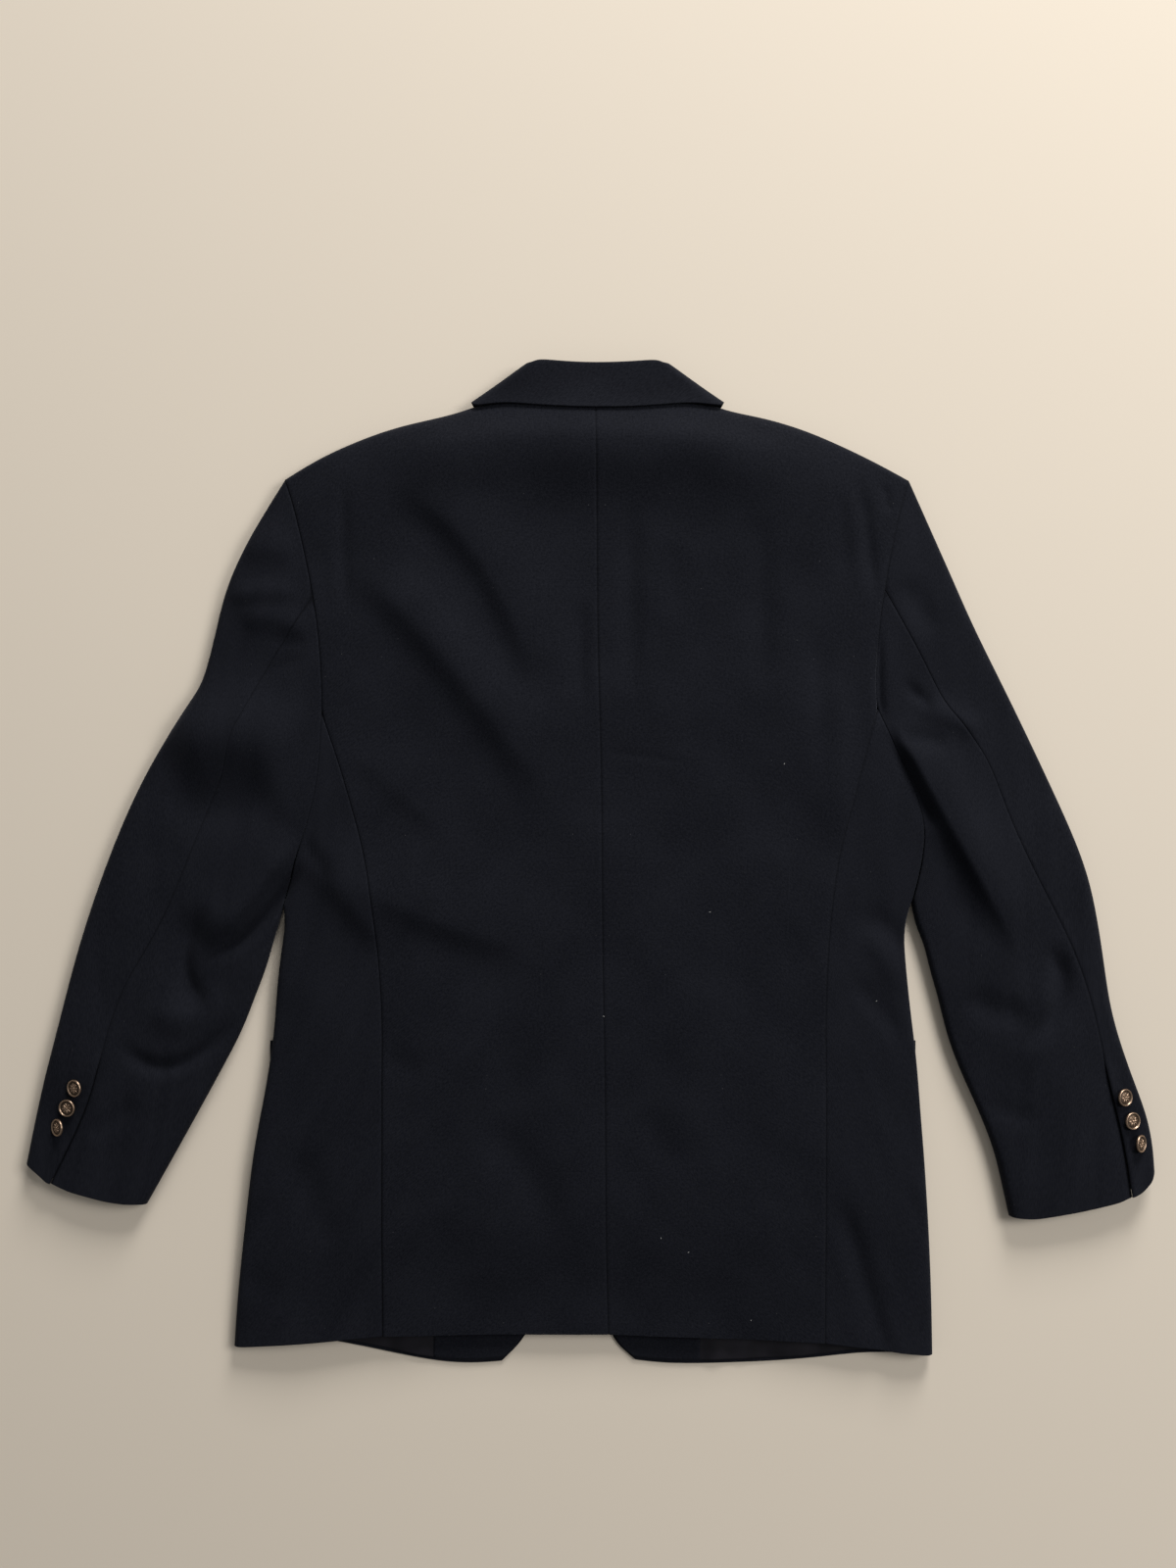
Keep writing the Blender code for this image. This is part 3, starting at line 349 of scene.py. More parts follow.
# Folds and creases of the upper layer: x and y of the start, the bend and the end, width left
# and right of that direction, and height, where a valley is below zero. First the broad ones
# of the back, then its sharp creases, those of the left sleeve and those of the right one.
FOLDS = [
    (-232, 322, 2, 352, 244, 318, 26, 40, 14.5), (-262, -392, 8, -403, 280, -403, 70, 40, -6.0),
    (-165, 322, -86, 246, -40, 130, 32, 13, 5.6), (-200, 254, -118, 170, -26, 44, 32, 17, 7.6),
    (-200, 98, -163, 64, -112, 20, 24, 12, 2.4), (-247, 18, -206, -26, -168, -78, 24, 11, 5.0),
    (-206, -8, -128, -47, -40, -72, 34, 15, 5.2), (205, 160, 208, 90, 203, 10, 12, 26, 2.6),
    (-6, 226, -9, 175, -6, 124, 8, 12, -2.4), (36, 304, 34, 220, 38, 118, 9, 11, -2.3),
    (72, 270, 70, 236, 74, 196, 10, 10, -0.8), (140, 294, 144, 226, 143, 130, 11, 12, -2.3),
    (190, 200, 192, 134, 194, 56, 10, 10, -1.8), (210, 316, 212, 276, 208, 226, 10, 10, -1.6),
    (-174, -166, -158, -170, -138, -180, 13, 13, -1.3), (-82, -212, -58, -256, -22, -312, 18, 18, -2.6),
    (38, -208, 56, -232, 73, -266, 15, 15, -1.6), (-252, -226, -236, -280, -210, -330, 16, 14, -3.0),
    (-294, -345, -276, -358, -252, -366, 14, 14, -1.8), (224, 326, 232, 270, 238, 215, 6, 8, -2.8),
    (216, 322, 224, 270, 229, 222, 7, 7, 1.0), (246, 318, 248, 304, 250, 290, 4, 4, -1.6),
    (-206, 330, -207, 264, -204, 206, 7, 6, -1.8), (220, -64, 244, -52, 268, -90, 9, 8, -3.2),
    (226, -64, 246, -80, 256, -112, 9, 9, 2.2), (214, -98, 240, -122, 266, -156, 11, 9, -2.4),
    (209, -276, 230, -350, 256, -440, 8, 11, -4.2), (10, 91, 46, 88, 90, 79, 3, 3, -0.6),
    (-243, 19, -229, 2, -213, -17, 5, 6, -3.4), (-240, 96, -300, 108, -366, 90, 32, 32, 11.0),
    (-256, 56, -304, 48, -372, 52, 22, 24, -4.0), (-246, 30, -284, -28, -328, -72, 9, 20, 9.0),
    (-240, 6, -276, -48, -324, -86, 6, 4, -7.5), (-318, -34, -342, -86, -312, -136, 9, 14, -6.4),
    (-372, -112, -342, -131, -304, -106, 13, 13, 3.2), (-400, -146, -350, -172, -292, -122, 7, 6, -4.8),
    (-376, -200, -400, -217, -424, -234, 8, 10, -2.0), (-306, 220, -276, 226, -240, 222, 8, 7, 3.0),
    (-296, 262, -268, 264, -244, 256, 18, 12, 2.8), (-296, 198, -266, 204, -232, 186, 12, 9, 3.0),
    (-268, 187, -252, 185, -237, 177, 6, 5, -1.2), (-278, 150, -256, 166, -236, 168, 6, 6, -1.2),
    (253, 122, 293, 46, 368, -88, 26, 7, 8.5), (288, 30, 306, -18, 348, -88, 8, 14, -2.0),
    (270, 130, 300, 122, 332, 104, 10, 10, 3.2), (256, 104, 278, 102, 304, 96, 8, 8, -3.0),
    (262, 238, 275, 214, 290, 186, 12, 10, -2.6), (262, 150, 276, 138, 288, 130, 6, 6, -3.0),
    (372, -92, 380, -134, 350, -180, 13, 13, 2.6), (378, -66, 395, -112, 354, -162, 9, 9, -6.5),
    (312, -104, 340, -126, 370, -122, 13, 12, -3.6), (333, -197, 355, -213, 382, -212, 10, 9, -1.6),
    (243, 200, 242, 150, 245, 112, 4, 5, -3.0), (247, 110, 272, 64, 288, 24, 4, 6, -3.4),
]
FOLD_STEPS = 32
FOLD_END_FADE = 0.3
FOLD_REACH = 3.0

# Low waves that no cloth is without: length, direction in degrees, phase, height
WAVES = [
    (97, 20, 0.4, 0.4), (143, 75, 2.1, 0.5), (61, 130, 4.0, 0.2), (211, 160, 1.2, 0.6), (44, 50, 5.1, 0.1),
]
WAVE_WANDER = 1.3
WAVE_WANDER_RATE = 2.0

# Soft folds of the lower layer, raised off the floor, as FOLDS are written
UNDER_FOLDS = [
    (-60, 300, -140, 200, -190, 60, 26, 16, 1.8), (-90, 40, -150, -60, -230, -120, 24, 14, 1.6),
    (-60, -200, -120, -280, -200, -330, 20, 16, 1.2), (80, 290, 150, 210, 205, 90, 16, 26, 1.8),
    (70, 0, 140, -70, 240, -110, 22, 14, 1.5), (60, -230, 120, -290, 200, -350, 20, 14, 1.2),
    (-290, 200, -330, 110, -380, 0, 22, 14, 2.0), (-330, 20, -350, -60, -400, -130, 18, 12, 1.6),
    (300, 190, 340, 100, 390, 10, 14, 22, 2.0), (320, 10, 350, -70, 410, -150, 14, 18, 1.6),
]

# Shoulder pads: centre, reach along X and Y, height
PADS = [(-212, 300, 48, 38, 4.5), (222, 300, 48, 38, 4.5)]

# Where the right front lies on the left one, and the pocket flaps
LAP_ZONE = [(-16, 12), (2, 12), (2, -255), (-14, -255)]
FLAP_TOP = -152
FLAP_FOOT = -200


def smooth_step(value):
    share = np.clip(value, 0.0, 1.0)
    return share * share * (3.0 - 2.0 * share)


def unit(vector):
    return vector / np.linalg.norm(vector, axis=-1, keepdims=True)


def square_to(line, toward):
    """The unit vector square to a line, on the side that another vector points to."""
    square = unit(np.array([-line[1], line[0]]))
    return square if np.dot(square, toward) > 0 else -square


def mix(first, second, share):
    return np.asarray(first, float) * (1.0 - share) + np.asarray(second, float) * share


def even(steps):
    return np.linspace(0.0, 1.0, steps + 1)


def spline_dots(knots):
    """Dots along a Catmull-Rom spline through the knots."""
    knots = np.array(knots, float)
    ends = np.vstack([2 * knots[0] - knots[1], knots, 2 * knots[-1] - knots[-2]])
    before, start, end, after = (ends[skip:skip + len(knots) - 1, None] for skip in range(4))
    t = even(SPLINE_STEPS)[:-1, None]
    dots = 0.5 * (
        2 * start
        + (end - before) * t
        + (2 * before - 5 * start + 4 * end - after) * t ** 2
        + (3 * start - before - 3 * end + after) * t ** 3
    )
    return np.vstack([dots.reshape(-1, knots.shape[1]), knots[-1:]])


class Path:
    """A smooth line through a table's points, read at shares of its length."""

    def __init__(self, knots):
        self.dots = spline_dots(knots)
        steps = np.linalg.norm(np.diff(self.dots, axis=0), axis=1)
        self.length = steps.sum()
        self.shares = np.append(0.0, np.cumsum(steps)) / self.length

    def at(self, share):
        return np.array([np.interp(share, self.shares, column) for column in self.dots.T])

    def along(self, shares):
        return [self.at(share) for share in shares]

    def direction(self, share):
        step = DIRECTION_REACH / self.length
        return unit(self.at(min(share + step, 1.0)) - self.at(max(share - step, 0.0)))

    def share_near(self, point):
        return self.shares[np.linalg.norm(self.dots - np.array(point), axis=1).argmin()]

    def share_at_x(self, x):
        return self.shares[np.abs(self.dots[:, 0] - x).argmin()]

    def within(self, share):
        """The point at a share of the stretch between the rolled edges at both ends."""
        margin = EDGE / self.length
        return self.at(margin + share * (1.0 - 2.0 * margin))


ROLLED_EDGES = np.vstack(
    [spline_dots(half[line]) for half in HALVES.values() for line in ("shoulder", "side_edge")]
    + [spline_dots(np.array(rows)[:, side:side + 2]) for rows in SLEEVES.values() for side in (0, 2)]
)
HEM_Y = HALVES["left"]["back_hem"][0][1]


def fold_heights(folds, spots):
    """The height that the folds together give at many spots; each crest curves through its bend."""
    heights = np.zeros(len(spots))
    shares = even(FOLD_STEPS - 1)[:, None]
    for *crest, left_width, right_width, height in folds:
        start, bend, end = np.reshape(crest, (3, 2)).astype(float)
        pull = 2 * bend - (start + end) / 2
        crest = (1 - shares) ** 2 * start + 2 * shares * (1 - shares) * pull + shares ** 2 * end
        reach = FOLD_REACH * max(left_width, right_width)
        near = np.all((spots > crest.min(axis=0) - reach) & (spots < crest.max(axis=0) + reach), axis=1)
        if not near.any():
            continue
        steps = np.diff(crest, axis=0)
        offsets = spots[near][:, None, :] - crest[None, :-1, :]
        along = np.clip((offsets * steps).sum(axis=2) / (steps ** 2).sum(axis=1), 0.0, 1.0)
        away = offsets - along[:, :, None] * steps
        distances = np.linalg.norm(away, axis=2)
        nearest = distances.argmin(axis=1)
        rows = np.arange(len(nearest))
        ahead = steps[nearest]
        side = away[rows, nearest]
        left = ahead[:, 0] * side[:, 1] - ahead[:, 1] * side[:, 0] > 0
        width = np.where(left, left_width, right_width)
        share = (nearest + along[rows, nearest]) / (FOLD_STEPS - 1)
        fade = smooth_step(np.minimum(share, 1.0 - share) / FOLD_END_FADE)
        heights[near] += height * fade * np.exp(-(distances[rows, nearest] / width) ** 2)
    return heights


def wave_heights(spots):
    """Low uneven waves at many spots."""
    heights = np.zeros(len(spots))
    for length, degrees, phase, height in WAVES:
        turn = math.radians(degrees)
        run = spots[:, 0] * math.cos(turn) + spots[:, 1] * math.sin(turn)
        drift = spots[:, 1] * math.cos(turn) - spots[:, 0] * math.sin(turn)
        wander = WAVE_WANDER * np.sin(drift / length * WAVE_WANDER_RATE)
        heights += height * np.sin(math.tau * run / length + phase + wander)
    return heights


def upper_height(point):
    """Height of the upper layer without its folds: a crown inside the rolled edges, and pads."""
    inside = np.linalg.norm(ROLLED_EDGES - point, axis=1).min() - EDGE
    crown = CROWN * (1.0 - math.exp(-max(inside, 0.0) / CROWN_REACH))
    hem = HEM_FALL * (1.0 - smooth_step((point[1] - HEM_Y) / HEM_FALL_REACH))
    pads = sum(
        height * math.exp(-((point[0] - x) / reach_x) ** 2 - ((point[1] - y) / reach_y) ** 2)
        for x, y, reach_x, reach_y, height in PADS
    )
    return EDGE_TOP + crown - hem + pads


def lift_share(point, outline):
    """How far a piece under the cloth lifts it: all of it over the outline, less beyond."""
    starts = np.array(outline, float)
    ends = np.roll(starts, -1, axis=0)
    sides = ends - starts
    away = point - starts
    crossed = (starts[:, 1] > point[1]) != (ends[:, 1] > point[1])
    crossings = (starts[:, 0] + sides[:, 0] * away[:, 1] / np.where(crossed, sides[:, 1], 1.0))[crossed]
    if np.count_nonzero(point[0] < crossings) % 2:
        return 1.0
    shares = np.clip((away * sides).sum(axis=1) / (sides ** 2).sum(axis=1), 0.0, 1.0)
    reach = np.linalg.norm(away - sides * shares[:, None], axis=1).min()
    return 1.0 - smooth_step((reach - FULL_LIFT_REACH) / LIFT_RAMP)


def raised(point, height, layer=1.0):
    """A point of the cloth, with the layer it lies in: 1 upper, -1 lower, between them a roll."""
    return np.array([point[0], point[1], height, layer])


def on_top(point):
    return raised(point, upper_height(point))


def rolled(base, out, reach, top, foot, angle):
    """A point on an edge rolled from the upper layer (angle 0) to the lower (angle 180)."""
    turn = math.radians(angle)
    height = (top + foot) / 2 + (top - foot) / 2 * math.cos(turn)
    return raised(base + out * reach * math.sin(turn), height, 1.0 - angle / 90.0)


def stations(part, values):
    """Places round a seam: the part of it, with a share or an angle."""
    return [(part, value) for value in values]


class Half:
    """The seams and edges of one half of the body, as paths."""

    def __init__(self, name):
        self.name = name
        self.sign = -1.0 if name == "left" else 1.0
        self.table = HALVES[name]
        self.shoulder = self.path("shoulder")
        self.armhole_back = self.path("armhole_back")
        self.armhole_front = self.path("armhole_front")
        self.side_edge = self.path("side_edge")
        self.elbow_share = SLEEVES[name][0][4]
        margin = EDGE / self.armhole_back.length
        meeting = self.armhole_back.share_near(self.table["side_seam"][0])
        self.side_share = (meeting - margin) / (1 - 2 * margin)
        self.side_seam = Path([self.armhole_back.within(self.side_share)] + self.table["side_seam"][1:])
        inset = [
            self.side_edge.at(share) + self.inward(share) * UNDER_SEAM_INSET
            for share in np.linspace(UNDER_SEAM_START, 1.0, UNDER_SEAM_KNOTS)
        ]
        self.under_seam = Path([self.armhole_point("lower", UNDER_SEAM_SHARE)[0:2]] + inset)
        self.upper_shares = np.concatenate([
            np.linspace(0.0, self.elbow_share, OUTER_STEPS + 1)[:-1],
            np.linspace(self.elbow_share, self.side_share, BACK_STEPS + 1)[:-1],
            np.linspace(self.side_share, 1.0, SIDE_STEPS + 1),
        ])
        lower = np.linspace(0.0, UNDER_SEAM_SHARE, FRONT_STEPS + 1)
        self.lower_shares = np.append(lower, [INSEAM_SHARE, 1.0])

    def path(self, line):
        return Path(self.table[line])

    def inward(self, share):
        return square_to(self.side_edge.direction(share), (-self.sign, 0))

    def lower_height(self, point):
        """Height of a front or side panel where it lies over leaves and flaps."""
        outer, inner = self.table["flap"]
        flap = [(outer, FLAP_TOP), (outer, FLAP_FOOT), (inner, FLAP_FOOT), (inner, FLAP_TOP)]
        lift = LEAF_LIFT * max(lift_share(point, self.table["lapel_zone"]), lift_share(point, flap))
        if self.name == "right":
            lift = max(lift, LAP_LIFT * lift_share(point, LAP_ZONE))
        return LOW + lift

    def on_foot(self, point):
        return raised(point, self.lower_height(point), -1.0)

    def rolled(self, base, out, angle):
        return rolled(base, out, ROLL, upper_height(base), self.lower_height(base), angle)

    def armhole_point(self, part, value, piece="body"):
        """A point of the armhole's seam, all round: upper, under arm, lower, shoulder.

        Under the arm the sleeve and the body hang side by side, so they are parted there.
        """
        away = self.sign if piece == "sleeve" else -self.sign
        nearing = smooth_step((value - PARTING_START) / (1.0 - PARTING_START))
        share = {"inner": 1.0, "outer": 0.0}.get(part, nearing)
        parting = np.array([away * UNDERARM_PARTING * share, 0.0])
        if part == "upper":
            return on_top(self.armhole_back.within(value) + parting)
        if part == "lower":
            return self.on_foot(self.armhole_front.within(value) + parting)
        end = 0.0 if part == "outer" else 1.0
        above = self.armhole_back.within(end)
        below = self.armhole_front.within(end)
        out = unit(self.armhole_back.direction(end) + self.armhole_front.direction(end))
        out = -out if part == "outer" else out
        base = mix(above, below, value / 180.0) + parting
        return rolled(base, out, ROLL, upper_height(above), self.lower_height(below), value)

    def shoulder_bases(self):
        """Where the rolled shoulder edge starts, and its way out, at each column."""
        tip = self.armhole_back.within(0.0)
        tip_out = -self.armhole_back.direction(0.0)
        bases = []
        for share in even(SHOULDER_COLUMNS):
            out = square_to(self.shoulder.direction(share), (0, 1))
            out = unit(mix(out, tip_out, share ** SHOULDER_TURN_POWER))
            base = self.shoulder.at(share) - out * EDGE
            drawn_to_neck = self.table["neck"][-1] - self.shoulder.at(0.0) + out * EDGE
            base = base + (1 - share) ** SHOULDER_PULL_POWER * drawn_to_neck
            base = base + share ** SHOULDER_PULL_POWER * (tip - base)
            bases.append((base, out))
        return bases


def patch(top, foot, first, last, across, down):
    """Points that fill a four-sided outline; top and foot run across, the others down."""
    top, foot, first, last = (np.array(line) for line in (top, foot, first, last))
    u = np.array(across)[None, :, None]
    v = np.array(down)[:, None, None]
    return (
        (1 - v) * (top - (1 - u) * top[0] - u * top[-1])
        + v * (foot - (1 - u) * foot[0] - u * foot[-1])
        + (1 - u) * first[:, None]
        + u * last[:, None]
    )


def back_rows(half):
    """Rows of a back from its neck and shoulder to its hem, columns from the centre out."""
    centre = Path(CENTRE_SEAM)
    bases = half.shoulder_bases()
    neck_points = half.path("neck").along(even(NECK_COLUMNS)[:-1])
    drop = ROLL * math.pi / 2
    steps_down = OUTER_STEPS + BACK_STEPS
    last = [half.armhole_point("upper", share)[0:2] for share in half.upper_shares[:steps_down + 1]]
    last += half.side_seam.along(even(BODY_ROWS)[1:])
    down = np.append(
        ARMHOLE_SHARE_OF_BACK * even(steps_down)[:-1], np.linspace(ARMHOLE_SHARE_OF_BACK, 1, BODY_ROWS + 1),
    )
    first_share = drop / centre.length
    first = centre.along(first_share + (1 - first_share) * down)
    top = [point - np.array([0.0, drop]) for point in neck_points] + [base for base, out in bases]
    top[0] = first[0]
    across = even(len(top) - 1)
    flat = patch(top, half.path("back_hem").along(across), first, last, across, down)
    rolls = []
    for angle in (90.0, 60.0, 30.0):
        row = [on_top(mix(start, point, angle / 90.0)) for point, start in zip(neck_points, top)]
        row += [half.rolled(base, out, angle) for base, out in bases[:-1]]
        rolls.append(row + [half.armhole_point("outer", angle)])
    return rolls + [[on_top(point) for point in row] for row in flat]


def lapped(rows):
    """Rows whose edges reach a hair past their seams, so that no light shows through."""
    rows = np.array(rows, float)
    points = rows[:, :, 0:3].copy()

    def shift(edge, inner):
        padded = np.concatenate([edge[:1], edge, edge[-1:]])
        line = unit(padded[2:] - padded[:-2])
        way = edge - inner
        return unit(way - line * (way * line).sum(axis=1, keepdims=True)) * SEAM_LAP

    for edge, inner in ((0, 1), (-1, -2)):
        rows[:, edge, 0:3] += shift(points[:, edge], points[:, inner])
        rows[edge, :, 0:3] += shift(points[edge], points[inner])
    return rows


def guarded(grid):
    """The rows with extra ones close to each edge, where the seams roll off."""
    for turned in range(4):
        reach = np.linalg.norm(grid[1, :, 0:3] - grid[0, :, 0:3], axis=1).mean()
        if reach > 2 * SEAM_GUARDS[-1]:
            extra = [mix(grid[0], grid[1], guard / reach)[None] for guard in SEAM_GUARDS]
            grid = np.concatenate([grid[:1], *extra, grid[1:]])
        grid = np.rot90(grid)
    return grid


# How finely the wool's threads and ribs run, for each metre, and its colours
THREAD_FINE = 1500.0
THREAD_LONG = 260.0
TWILL_RATE = math.tau / 0.00125
TWILL_WANDER = 5.0
SPECK_CELLS = 95.0
SPECK_GREY = (0.06, 0.06, 0.065, 1.0)
WOOL_DARK = (0.0022, 0.0027, 0.0052, 1.0)
WOOL_LIGHT = (0.0118, 0.0128, 0.0180, 1.0)
SHEEN_BLUE = (0.62, 0.66, 0.80, 1.0)


def wool_finish():
    """Worsted twill: fine diagonal ribs of warp and weft, slightly mixed, with specks of nap."""
    finish = Finish(
        "navy_wool", Specular_IOR_Level=0.08, Sheen_Weight=0.05, Sheen_Roughness=0.45, Sheen_Tint=SHEEN_BLUE,
    )
    spot, u, v = finish.cloth_map()
    warp = finish.threads(u * THREAD_FINE, v * THREAD_LONG)
    weft = finish.threads(u * THREAD_LONG, v * THREAD_FINE)
    threads = (warp + weft) * 0.5
    wander = finish.noise(spot, 220.0)
    twill = ((u + v) * TWILL_RATE + wander * TWILL_WANDER).maths("SINE") * 0.5 + 0.5
    mottle = finish.noise(spot, 16.0, 4.0, 0.6)
    grain = finish.noise(spot, 520.0, 4.0, 0.8)
    share = threads * 0.6 + twill * 0.1 + mottle * 0.4 + grain * 1.2 - 0.65
    mixed = finish.blend(share.between(0.15, 0.85), WOOL_DARK, WOOL_LIGHT)
    # Painted shade: the wool is darkened towards the seam shadow colour along the seams, for the shade in
    # their grooves
    seam_shaded_colour = finish.blend(finish.attribute("seam_groove_shade") * 0.65, mixed, SEAM_SHADOW_COLOUR)
    cells = finish.node("ShaderNodeTexVoronoi", {"Vector": spot, "Scale": SPECK_CELLS})
    specks = cells.between(0.055, 0.02) * cells.other("Color").between(0.62, 0.66)
    finish.feed(
        Base_Color=finish.blend(specks * 0.75, seam_shaded_colour, SPECK_GREY),
        Roughness=mottle * 0.14 + 0.80,
        Normal=finish.bump(threads * 0.6 + twill * 0.4 + grain * 0.5, 0.35, 0.00025),
    )
    return finish.material


finishes = {"navy_wool": wool_finish()}


def hand_over(piece, name, slot):
    """Give a piece the material in its slot, hide the solid it replaces, and attach it to its body."""
    piece.data.materials.append(finishes[slot])
    piece.data.shade_smooth()
    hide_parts(name)
    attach(piece, "root")


def cut_of(grid):
    """Width square to the columns, length along them and area of a piece laid flat, in metres."""
    spots = grid[:, :, 0:3] * MM
    across = spots[1:, 1:] - spots[:-1, :-1]
    down = spots[1:, :-1] - spots[:-1, 1:]
    cells = np.linalg.norm(np.cross(across, down), axis=2) / 2
    lengths = np.linalg.norm(np.diff(spots, axis=0), axis=2)
    width = (cells * 2 / (lengths[:, 1:] + lengths[:, :-1])).sum(axis=1).max()
    return width, lengths.sum(axis=0).max(), cells.sum()


def cloth(
    name, rows, seams="", lift=None, folded=True, rounding=ROUNDING,
    slot="navy_wool", wall=SHOWN_WALL,
):
    """A piece of cloth: a cage on the pattern's rows, rounded, creased and given its wall.

    seams names the edges that are sewn: t for the first row, f for the last, b and e for
    the first and last column. lift adds heights in mm, from the spots and their distances
    from the first column and the last row.
    """
    grid = guarded(lapped(rows))
    spots = grid[:, :, 0:3]
    across = np.linalg.norm(np.diff(spots, axis=1, prepend=spots[:, :1]), axis=2).cumsum(axis=1)
    down = np.linalg.norm(np.diff(spots, axis=0, prepend=spots[:1]), axis=2).cumsum(axis=0)
    sides = {"t": down, "f": down[-1:] - down, "b": across, "e": across[:, -1:] - across}
    seam = np.minimum.reduce([np.full(across.shape, FAR)] + [sides[edge] for edge in seams])
    middle = across.shape[1] // 2
    maps = np.stack([across - across[:, middle:middle + 1], down], axis=2).reshape(-1, 2) * MM
    values = {"layer": grid[:, :, 3], "seam": seam, "from_first": across, "from_foot": sides["f"]}

    shape = bmesh.new()
    bmesh.ops.create_grid(shape, x_segments=grid.shape[1] - 1, y_segments=grid.shape[0] - 1, size=1.0)
    layers = {key: shape.verts.layers.float.new(key) for key in values}
    for vertex, spot in zip(shape.verts, spots.reshape(-1, 3)):
        vertex.co = spot
        for key, layer in layers.items():
            vertex[layer] = values[key].flat[vertex.index]
    chart = shape.loops.layers.uv.new("Cloth")
    for face in shape.faces:
        for loop in face.loops:
            loop[chart].uv = maps[loop.vert.index]
    piece = placed(name + "_shown", mesh_of(name, shape))
    rounded = piece.modifiers.new("Round", "SUBSURF")
    rounded.levels = rounded.render_levels = rounding
    rounded.boundary_smooth = "PRESERVE_CORNERS"
    graph = bpy.context.evaluated_depsgraph_get()
    mesh = bpy.data.meshes.new_from_object(
        piece.evaluated_get(graph), preserve_all_data_layers=True, depsgraph=graph,
    )
    piece.modifiers.clear()
    piece.data = mesh

    spots = np.empty(len(mesh.vertices) * 3)
    mesh.vertices.foreach_get("co", spots)
    spots = spots.reshape(-1, 3)
    for key in values:
        values[key] = np.empty(len(spots))
        mesh.attributes[key].data.foreach_get("value", values[key])
        mesh.attributes.remove(mesh.attributes[key])
    upper = np.clip(values["layer"], 0.0, 1.0)
    lower = np.clip(-values["layer"], 0.0, 1.0)
    plan = spots[:, 0:2]
    rise = np.zeros(len(spots))
    if folded:
        rise += upper * (fold_heights(FOLDS, plan) + wave_heights(plan))
        rise += lower * fold_heights(UNDER_FOLDS, plan)
    rise -= (upper - 0.5 * lower) * SEAM_DIP * np.exp(-(values["seam"] / SEAM_ROLL) ** 2)
    if lift is not None:
        rise += upper * lift(plan, values["from_first"], values["from_foot"])
    spots[:, 2] += rise
    mesh.vertices.foreach_set("co", (spots * MM).ravel())
    # Share of painted seam shade, fading with distance from each sewn edge
    seam_groove_shade = np.exp(-(values["seam"] / SEAM_SHADE) ** 2)
    mesh.attributes.new("seam_groove_shade", "FLOAT", "POINT").data.foreach_set("value", seam_groove_shade)
    thickness = piece.modifiers.new("Wall", "SOLIDIFY")
    thickness.thickness = wall * MM
    thickness.offset = 0.0
    hand_over(piece, name, slot)
    width, length, area = cut_of(grid)


halves = [Half(name) for name in HALVES]
for half in halves:
    cloth(f"back_{half.name}", back_rows(half), seams="tbe")

# Side panels
# One strip of the same wool on each side, sewn to the back and to the front, which folds
# round the side edge. It has no dart, and hangs from the bottom of the armhole.
SIDE_FADE = 9.0


def side_rows(half):
    """Rows round a side edge, from the armhole to the hem."""
    places = (
        stations("upper", half.upper_shares[OUTER_STEPS + BACK_STEPS:])
        + stations("inner", ROLL_ANGLES)
        + stations("lower", half.lower_shares[:FRONT_STEPS - 1:-1])
    )

    def below_armhole(drop, part, value):
        inward = half.inward(drop)
        base = half.side_edge.at(drop) + inward * EDGE
        if part == "upper":
            share = (value - half.side_share) / (1.0 - half.side_share)
            return on_top(mix(half.side_seam.at(drop), base, share))
        if part == "lower":
            share = (value - UNDER_SEAM_SHARE) / (1.0 - UNDER_SEAM_SHARE)
            return half.on_foot(mix(half.under_seam.at(drop), base, share))
        return half.rolled(base, -inward, value)

    rows = [[half.armhole_point(*place) for place in places]]
    bulges = [loop - below_armhole(0.0, *place) for loop, place in zip(rows[0], places)]
    for drop in even(BODY_ROWS)[1:]:
        row = []
        for bulge, (part, value) in zip(bulges, places):
            point = below_armhole(drop, part, value) + math.exp(-SIDE_FADE * drop) * bulge
            if part == "upper":
                point[2] = upper_height(point[0:2])
            row.append(point)
        rows.append(row)
    return rows


for half in halves:
    cloth(f"side_{half.name}", side_rows(half), seams="tbe", rounding=FLAT_ROUNDING)

# Sleeves
# Two pieces each: the topsleeve folds round the outer edge and the undersleeve round the
# inner one. They meet at the elbow seam, which ends in a vent, and under the arm.
SLEEVE_ROWS = 18
SECTION_REACH = 0.2
SLEEVE_FADE = 1.5
SLEEVE_FADE_OUTWARD = 0.35
SLEEVE_BOW = 10.0
VENT_LENGTH = 112.0
VENT_EASE = 3.5
VENT_STEP = 1.1
VENT_REACH = 7.0

# Cuff hems bow away from the sleeve's last section: share from outer, bow
CUFF_BOWS = {
    "left": [(0.0, -6.0), (0.07, -2.0), (0.2, 4.5), (0.4, 7.5), (0.7, 7.5), (0.9, 5.0), (1.0, 0.0)],
    "right": [(0.0, -8.0), (0.05, 4.0), (0.13, 10.5), (0.3, 13.0), (0.6, 11.0), (0.87, 7.0), (1.0, 0.0)],
}


